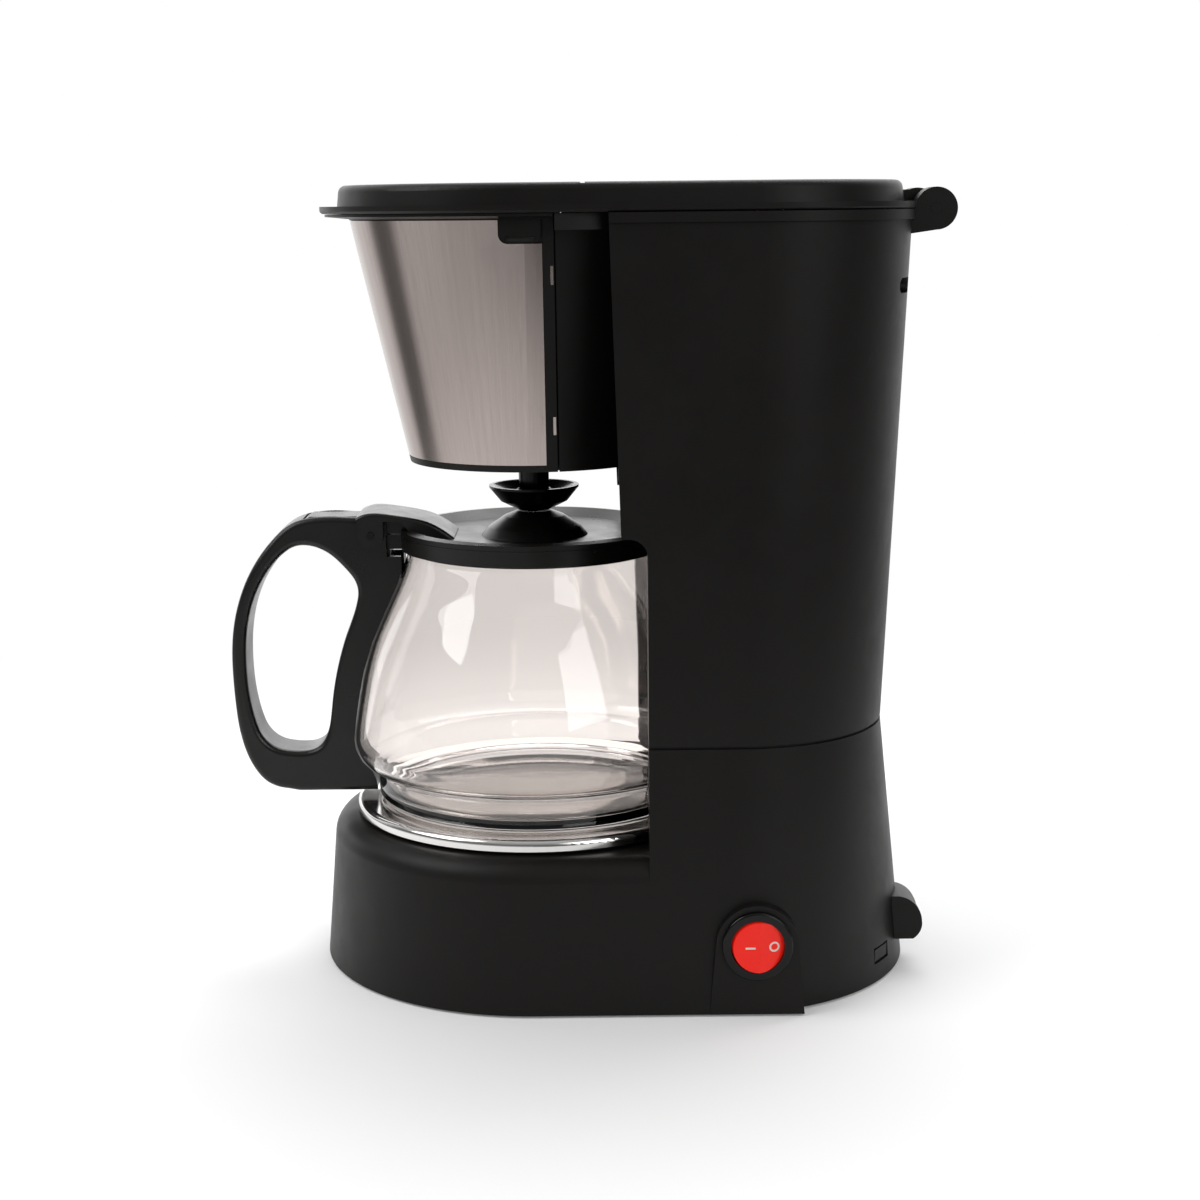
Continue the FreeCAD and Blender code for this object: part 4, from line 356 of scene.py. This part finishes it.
finishes = {
    "black_satin": plastic("satin_black", (0.0056, 0.0048, 0.0042), 0.41, 0.48, tone=0.12, specular=0.22,
                           dust=0.006),
    "black_gloss": plastic("gloss_black", (0.0022, 0.0021, 0.0020), 0.16, 0.24, grain=1500.0, depth=0.00002,
                           dust=0.004, specular=0.28),
    "jug_black": plastic("jug_black", (0.0060, 0.0054, 0.0048), 0.26, 0.36, depth=0.00004, dust=0.012,
                         specular=0.38),
    "red_clear": red_rocker(),
    # The warm beige tint of both skin colours is a painted reflection of a beige room; the brushed tone between them
    # is the metal's own
    "steel_skin": metal("brushed_skin", BRUSHED, CARAFE_AXIS, (0.33, 0.282, 0.264), (0.56, 0.482, 0.453),
                        0.14, 0.24, Run=0.02, Fineness=4500.0),
    "steel_plate": metal("polished_plate", SPUN, CARAFE_AXIS, (0.62, 0.61, 0.60), (0.80, 0.79, 0.77),
                         0.09, 0.17, Fineness=2200.0),
    "steel_plain": metal("plain_steel", BRUSHED, FRAME_ORIGIN, (0.42, 0.42, 0.42), (0.62, 0.61, 0.60),
                         0.26, 0.4, Run=0.6, Fineness=2500.0),
    "aluminium": metal("drawn_aluminium", BRUSHED, CARAFE_AXIS, (0.56, 0.57, 0.58), (0.74, 0.75, 0.76),
                       0.3, 0.45, Run=0.4, Fineness=1800.0),
    "brass": metal("tab_brass", BRUSHED, FRAME_ORIGIN, (0.58, 0.42, 0.17), (0.78, 0.62, 0.32),
                   0.25, 0.4, Run=0.5, Fineness=2500.0),
    "rubber": plastic("foot_rubber", (0.018, 0.018, 0.018), 0.7, 0.85, grain=3200.0, depth=0.0001, dust=0.05),
    "silicone": plastic("hose_silicone", (0.62, 0.60, 0.55), 0.45, 0.6, grain=1800.0, tone=0.06, dust=0.0),
    "white_sleeve": plastic("fuse_sleeve", (0.72, 0.70, 0.66), 0.55, 0.7, grain=2600.0, depth=0.0001,
                            tone=0.08, dust=0.0),
    "white_plastic": plastic("pale_plastic", (0.56, 0.56, 0.53), 0.35, 0.5, tone=0.05, dust=0.0),
    "filter_plastic": plastic("filter_black", (0.03, 0.029, 0.027), 0.45, 0.6, dust=0.02),
    "mesh": woven_nylon(),
    "glass": clear_glass(),
    "mark_paint": plastic("mark_paint", (0.86, 0.72, 0.66), 0.4, 0.5, grain=3000.0, depth=0.00001,
                          tone=0.05, dust=0.0),
}
slot_of = {part["node"]: part["material_slot"] for part in frame["record"]["subparts"]}
own_finish = {"carafe_lid": "jug_black", "carafe_collar": "jug_black", "carafe_handle": "jug_black"}
for name, obj in nodes.items():
    mat = finishes[own_finish.get(name, slot_of[name])]
    for place in obj.material_slots:
        place.material = mat


def placed(name, mesh):
    obj = bpy.data.objects.new(name, mesh)
    bpy.context.scene.collection.objects.link(obj)
    return obj


# Marks on the rocker: a bar at the front, a ring at the rear, laid on its curved face from +X

MARK_LIFT = 0.00001
MARK_THICK = 0.00006
MARK_RAY_X = 0.2
BAR_SHIFT_Y = 0.0026
BAR_LENGTH = 0.0032
BAR_HALF = 0.0003
BAR_STEPS = 6
RING_SHIFT_Y = 0.0053
RING_RADII = (0.0011, 0.0017)
RING_STEPS = 40


def surface_of(node):
    mesh = nodes[node].data
    corners = [v.co.copy() for v in mesh.vertices]
    return BVHTree.FromPolygons(corners, [tuple(p.vertices) for p in mesh.polygons])


def flat_mark(name, rows, node):
    surface = surface_of(node)
    bm = bmesh.new()
    grid = []
    for row in rows:
        line = []
        for y, z in row:
            hit = surface.ray_cast(Vector((MARK_RAY_X, y, z)), Vector((-1, 0, 0)))[0]
            line.append(bm.verts.new((hit.x + MARK_LIFT, y, z)))
        grid.append(line)
    for a, b in zip(grid, grid[1:]):
        for i in range(len(a) - 1):
            bm.faces.new((a[i], a[i + 1], b[i + 1], b[i]))
    bmesh.ops.remove_doubles(bm, verts=bm.verts, dist=1e-7)
    bmesh.ops.recalc_face_normals(bm, faces=bm.faces)
    if sum(f.normal.x for f in bm.faces) < 0:
        bmesh.ops.reverse_faces(bm, faces=bm.faces)
    mesh = bpy.data.meshes.new(name)
    bm.to_mesh(mesh)
    bm.free()
    obj = placed(name, mesh)
    wall = obj.modifiers.new("thickness", "SOLIDIFY")
    wall.thickness = MARK_THICK
    wall.offset = 1.0
    return obj


def rocker_marks():
    low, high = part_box("switch_rocker")
    middle_y, middle_z = (low.y + high.y) / 2, (low.z + high.z) / 2
    bar_y, ring_y = middle_y - BAR_SHIFT_Y, middle_y + RING_SHIFT_Y
    bar = [[(bar_y + BAR_LENGTH * (i / BAR_STEPS - 0.5), middle_z + side * BAR_HALF) for i in range(BAR_STEPS + 1)]
           for side in (-1, 1)]
    turns = [2 * math.pi * i / RING_STEPS for i in range(RING_STEPS + 1)]
    ring = [[(ring_y + r * math.cos(a), middle_z + r * math.sin(a)) for a in turns] for r in RING_RADII]
    for name, rows in (("rocker_bar_mark", bar), ("rocker_ring_mark", ring)):
        obj = flat_mark(name, rows, "switch_rocker")
        obj.data.materials.append(finishes["mark_paint"])
        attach(obj, "rocker")


rocker_marks()


# Jug: a blown glass body turned about the carafe axis, in place of the frame's glass
# Radius and height in millimetres, from the foot up to the neck

JUG_OUTER = [
    (55.0, 57.2), (56.5, 58.4), (56.9, 60.6), (57.0, 64.0), (57.3, 67.2), (58.7, 69.1), (61.2, 70.3), (63.3, 72.6),
    (64.5, 75.8), (64.8, 79.0), (64.0, 85.0), (62.6, 93.5), (60.6, 103.0), (57.4, 113.0), (52.6, 124.0),
    (48.0, 134.0), (45.2, 142.0), (44.2, 145.2)]
JUG_INNER = [
    (51.0, 60.4), (53.6, 61.2), (54.8, 63.4), (55.3, 66.6), (56.2, 68.8), (57.8, 70.3), (60.3, 71.5), (62.1, 73.3),
    (63.1, 76.1), (63.4, 78.9), (62.6, 84.8), (61.2, 93.2), (59.25, 102.6), (56.1, 112.5), (51.3, 123.4),
    (46.7, 133.5), (43.6, 141.7), (42.1, 145.2)]
JUG_UNDERSIDE = [(0.0, 58.4), (30.0, 58.2), (48.0, 58.0), (51.5, 57.5)]
JUG_BOTTOM = [(30.0, 59.9), (0.0, 59.8)]
JUG_RIM_Z = 150.4
JUG_RIM_R = 43.1
JUG_RIM_ROUND = 1.1
JUG_RIM_STEPS = 8
JUG_LINE_STEPS = 5
JUG_SIDES = 160
JUG_SHARP = 60
MM = 1000


def smooth_line(points, steps):
    def beyond(end, inside):
        return tuple(2 * e - i for e, i in zip(end, inside))

    ends = [beyond(points[0], points[1])] + points + [beyond(points[-1], points[-2])]
    line = []
    for a, b, c, d in zip(ends, ends[1:], ends[2:], ends[3:]):
        for i in range(steps):
            t = i / steps
            line.append(tuple(
                0.5 * (2 * q + (r - p) * t + (2 * p - 5 * q + 4 * r - s) * t ** 2 + (3 * q - p - 3 * r + s) * t ** 3)
                for p, q, r, s in zip(a, b, c, d)))
    return line + [points[-1]]


def turned_mesh(name, profile, sides, centre_y, sharp):
    bm = bmesh.new()
    turns = [2 * math.pi * i / sides for i in range(sides)]
    rings = []
    for r, z in profile:
        on_axis = r < 1e-6
        rings.append([bm.verts.new((r * math.cos(a), centre_y + r * math.sin(a), z))
                      for a in (turns[:1] if on_axis else turns)])
    for low, high in zip(rings, rings[1:]):
        for i in range(sides):
            corners = [low[i % len(low)], low[(i + 1) % len(low)], high[(i + 1) % len(high)], high[i % len(high)]]
            corners = [v for k, v in enumerate(corners) if v not in corners[:k]]
            if len(corners) > 2:
                bm.faces.new(corners)
    bmesh.ops.recalc_face_normals(bm, faces=bm.faces)
    for f in bm.faces:
        f.smooth = True
    mesh = bpy.data.meshes.new(name)
    bm.to_mesh(mesh)
    bm.free()
    mesh.set_sharp_from_angle(angle=math.radians(sharp))
    return placed(name, mesh)


def blown_jug():
    outer, inner = smooth_line(JUG_OUTER, JUG_LINE_STEPS), smooth_line(JUG_INNER, JUG_LINE_STEPS)
    turns = [math.pi * i / JUG_RIM_STEPS for i in range(JUG_RIM_STEPS + 1)]
    lip = [(JUG_RIM_R + JUG_RIM_ROUND * math.cos(a), JUG_RIM_Z - JUG_RIM_ROUND + JUG_RIM_ROUND * math.sin(a))
           for a in turns]
    loop = JUG_UNDERSIDE + outer + lip + inner[::-1] + JUG_BOTTOM
    jug = turned_mesh("blown_jug", [(r / MM, z / MM) for r, z in loop], JUG_SIDES, CARAFE_AXIS_Y, JUG_SHARP)
    jug.data.materials.append(finishes["glass"])
    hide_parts("carafe_glass")
    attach(jug, "carafe")


blown_jug()


# Valve spring: wire turns in place of the frame's sleeve

SPRING_WIRE_R = 0.00035
SPRING_TURNS = 5.5
SPRING_TURN_STEPS = 28
SPRING_WIRE_SIDES = 10


def coil_tree():
    tree = bpy.data.node_groups.new("coil_spring", "GeometryNodeTree")
    sockets = {}
    for name, kind in (("Turns", "NodeSocketFloat"), ("Radius", "NodeSocketFloat"), ("Height", "NodeSocketFloat"),
                       ("Wire", "NodeSocketFloat"), ("Finish", "NodeSocketMaterial")):
        sockets[name] = tree.interface.new_socket(name, in_out="INPUT", socket_type=kind).identifier
    tree.interface.new_socket("Geometry", in_out="OUTPUT", socket_type="NodeSocketGeometry")
    gin, gout = tree.nodes.new("NodeGroupInput"), tree.nodes.new("NodeGroupOutput")
    path, ring = tree.nodes.new("GeometryNodeCurveSpiral"), tree.nodes.new("GeometryNodeCurvePrimitiveCircle")
    sweep, soft = tree.nodes.new("GeometryNodeCurveToMesh"), tree.nodes.new("GeometryNodeSetShadeSmooth")
    real, paint = tree.nodes.new("GeometryNodeRealizeInstances"), tree.nodes.new("GeometryNodeSetMaterial")
    path.inputs["Resolution"].default_value = SPRING_TURN_STEPS
    ring.inputs["Resolution"].default_value = SPRING_WIRE_SIDES
    sweep.inputs["Fill Caps"].default_value = True
    for a, b in ((gin.outputs["Turns"], path.inputs["Rotations"]),
                 (gin.outputs["Radius"], path.inputs["Start Radius"]),
                 (gin.outputs["Radius"], path.inputs["End Radius"]),
                 (gin.outputs["Height"], path.inputs["Height"]),
                 (gin.outputs["Wire"], ring.inputs["Radius"]),
                 (path.outputs["Curve"], sweep.inputs["Curve"]),
                 (ring.outputs["Curve"], sweep.inputs["Profile Curve"]),
                 (sweep.outputs["Mesh"], soft.inputs["Geometry"]),
                 (soft.outputs["Geometry"], real.inputs["Geometry"]),
                 (real.outputs["Geometry"], paint.inputs["Geometry"]),
                 (gin.outputs["Finish"], paint.inputs["Material"]),
                 (paint.outputs["Geometry"], gout.inputs["Geometry"])):
        tree.links.new(a, b)
    return tree, sockets


def made_by(tree, sockets, name, place, **values):
    maker = placed(name + "_maker", bpy.data.meshes.new(name + "_maker"))
    step = maker.modifiers.new("maker", "NODES")
    step.node_group = tree
    for key, value in values.items():
        step[sockets[key]] = value
    mesh = bpy.data.meshes.new_from_object(maker.evaluated_get(bpy.context.evaluated_depsgraph_get()))
    mesh.name = name
    mesh.transform(Matrix.Translation(place))
    bpy.data.objects.remove(maker)
    return placed(name, mesh)


def wire_spring():
    low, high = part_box("valve_spring")
    length = high.z - low.z
    tree, sockets = coil_tree()
    spring = made_by(tree, sockets, "wire_spring", (0, CARAFE_AXIS_Y, low.z + SPRING_WIRE_R), Turns=SPRING_TURNS,
                     Radius=(high.x - low.x) / 2 - SPRING_WIRE_R, Height=length - 2 * SPRING_WIRE_R,
                     Wire=SPRING_WIRE_R, Finish=finishes["steel_plain"])
    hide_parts("valve_spring")
    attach(spring, "holder")
    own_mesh(spring)


wire_spring()


# Floor, light and camera
# The floor's brightness in mirrored rays, by the turn about Z in degrees from +X towards -Y: painted reflections of
# a room, shown only in mirrored rays

PAINTED_REFLECTION_LEVELS = [(-180, 1.20), (-90, 0.40), (-28, 0.10), (-4, 0.12), (12, 0.40), (44, 0.56), (72, 0.68), (90, 0.70),
               (99, 0.13), (114, 0.13), (126, 0.90), (180, 1.20)]
THROUGH_GLASS = 0.84
FLOOR_HALF = 8.0
FLOOR_COLOUR = (0.8, 0.8, 0.8, 1)
FLOOR_LIFT = 0.12
FLOOR_FADE = (0.22, 0.6)
SKY_LEVEL = 0.15
SKY_ABOVE = 0.35
SKY_BEHIND = 1.80
LIGHT_TARGET = (0, 0, 0.12)


def light_cards(tree, place):
    parts = parts_of(tree, place)
    turn = math_node(tree, "ARCTAN2", times(tree, parts["Y"], -1.0), parts["X"])
    ramp = add(tree, "ShaderNodeValToRGB")
    ramp.color_ramp.interpolation = "EASE"
    stops = ramp.color_ramp.elements
    for angle, _ in PAINTED_REFLECTION_LEVELS[1:-1]:
        stops.new((angle + 180) / 360)
    for stop, (_, level) in zip(stops, PAINTED_REFLECTION_LEVELS):
        stop.color = (level, level, level, 1)
    tree.links.new(span(tree, turn, -math.pi, math.pi, 0.0, 1.0, "LINEAR"), ramp.inputs["Fac"])
    return ramp.outputs["Color"]


def pale_floor():
    mesh = bpy.data.meshes.new("floor")
    s = FLOOR_HALF
    mesh.from_pydata([(-s, -s, 0), (s, -s, 0), (s, s, 0), (-s, s, 0)], [], [(0, 1, 2, 3)])
    floor = placed("floor", mesh)
    mat = bpy.data.materials.new("pale_floor")
    mat.use_nodes = True
    tree = mat.node_tree
    tree.nodes.clear()
    path = add(tree, "ShaderNodeLightPath")
    place = object_place(tree)
    through = path.outputs["Is Transmission Ray"]
    bounced = math_node(tree, "SUBTRACT", path.outputs["Is Glossy Ray"], through, True)
    # Mirrored rays see painted reflections of a room here, brighter or darker by direction
    mirrored = times(tree, bounced, light_cards(tree, place))
    seen = larger(tree, path.outputs["Is Camera Ray"], larger(tree, mirrored, times(tree, through, THROUGH_GLASS)))
    matt = add(tree, "ShaderNodeBsdfDiffuse")
    matt.inputs["Color"].default_value = FLOOR_COLOUR
    lift = add(tree, "ShaderNodeEmission")
    tree.links.new(times(tree, seen, FLOOR_LIFT), lift.inputs["Strength"])
    near = add(tree, "ShaderNodeAddShader")
    tree.links.new(matt.outputs[0], near.inputs[0])
    tree.links.new(lift.outputs[0], near.inputs[1])
    far = add(tree, "ShaderNodeEmission")
    tree.links.new(seen, far.inputs["Strength"])
    away = add(tree, "ShaderNodeVectorMath", operation="LENGTH")
    tree.links.new(place, away.inputs[0])
    blend = add(tree, "ShaderNodeMixShader")
    tree.links.new(span(tree, away.outputs["Value"], *FLOOR_FADE, 0.0, 1.0), blend.inputs[0])
    tree.links.new(near.outputs[0], blend.inputs[1])
    tree.links.new(far.outputs[0], blend.inputs[2])
    out = add(tree, "ShaderNodeOutputMaterial")
    tree.links.new(blend.outputs[0], out.inputs["Surface"])
    mesh.materials.append(mat)


def studio_world():
    world = bpy.data.worlds.new("studio")
    bpy.context.scene.world = world
    world.use_nodes = True
    tree = world.node_tree
    tree.nodes.clear()
    path = add(tree, "ShaderNodeLightPath")
    parts = parts_of(tree, add(tree, "ShaderNodeTexCoord").outputs["Generated"])
    above = span(tree, parts["Z"], 0.1, 1.0, 0.0, SKY_ABOVE)
    behind = span(tree, parts["X"], -0.95, -0.05, SKY_BEHIND, 0.0)
    level = plus(tree, plus(tree, above, behind), SKY_LEVEL)
    white = larger(tree, path.outputs["Is Camera Ray"],
                   times(tree, path.outputs["Is Transmission Ray"], THROUGH_GLASS))
    strength = add(tree, "ShaderNodeMix", data_type="FLOAT")
    tree.links.new(math_node(tree, "GREATER_THAN", white, 0.0), strength.inputs[0])
    tree.links.new(level, strength.inputs[2])
    tree.links.new(white, strength.inputs[3])
    back = add(tree, "ShaderNodeBackground")
    back.inputs["Color"].default_value = (1, 1, 1, 1)
    tree.links.new(strength.outputs[0], back.inputs["Strength"])
    out = add(tree, "ShaderNodeOutputWorld")
    tree.links.new(back.outputs[0], out.inputs["Surface"])


def softbox(name, place, width, height, watts):
    lamp = bpy.data.lights.new(name, "AREA")
    lamp.shape = "RECTANGLE"
    lamp.size, lamp.size_y = width, height
    lamp.energy = watts
    obj = placed(name, lamp)
    obj.location = place
    obj.rotation_euler = (Vector(LIGHT_TARGET) - Vector(place)).to_track_quat("-Z", "Y").to_euler()


def photo_camera():
    lens = bpy.data.cameras.new("camera")
    lens.lens = CAMERA_LENS
    lens.sensor_width = CAMERA_SENSOR
    lens.clip_start = CAMERA_NEAR
    obj = placed("camera", lens)
    p, r = math.radians(CAMERA_PITCH), math.radians(CAMERA_ROLL)
    right = Vector((0, 1, 0))
    up = Vector((-math.sin(p), 0, math.cos(p)))
    back = Vector((math.cos(p), 0, math.sin(p)))
    x = right * math.cos(r) - up * math.sin(r)
    y = up * math.cos(r) + right * math.sin(r)
    turn = Matrix((x, y, back)).transposed().to_4x4()
    obj.matrix_world = Matrix.Translation(CAMERA_PLACE) @ turn
    bpy.context.scene.camera = obj


pale_floor()
studio_world()
softbox("key_left", (0.35, -1.1, 1.15), 0.9, 0.9, 11.0)
softbox("top_back", (-0.55, 0.25, 1.35), 1.1, 0.8, 9.0)
softbox("fill_front", (1.3, 0.9, 0.7), 0.9, 0.9, 7.0)
photo_camera()
bpy.context.scene.view_settings.view_transform = "Standard"
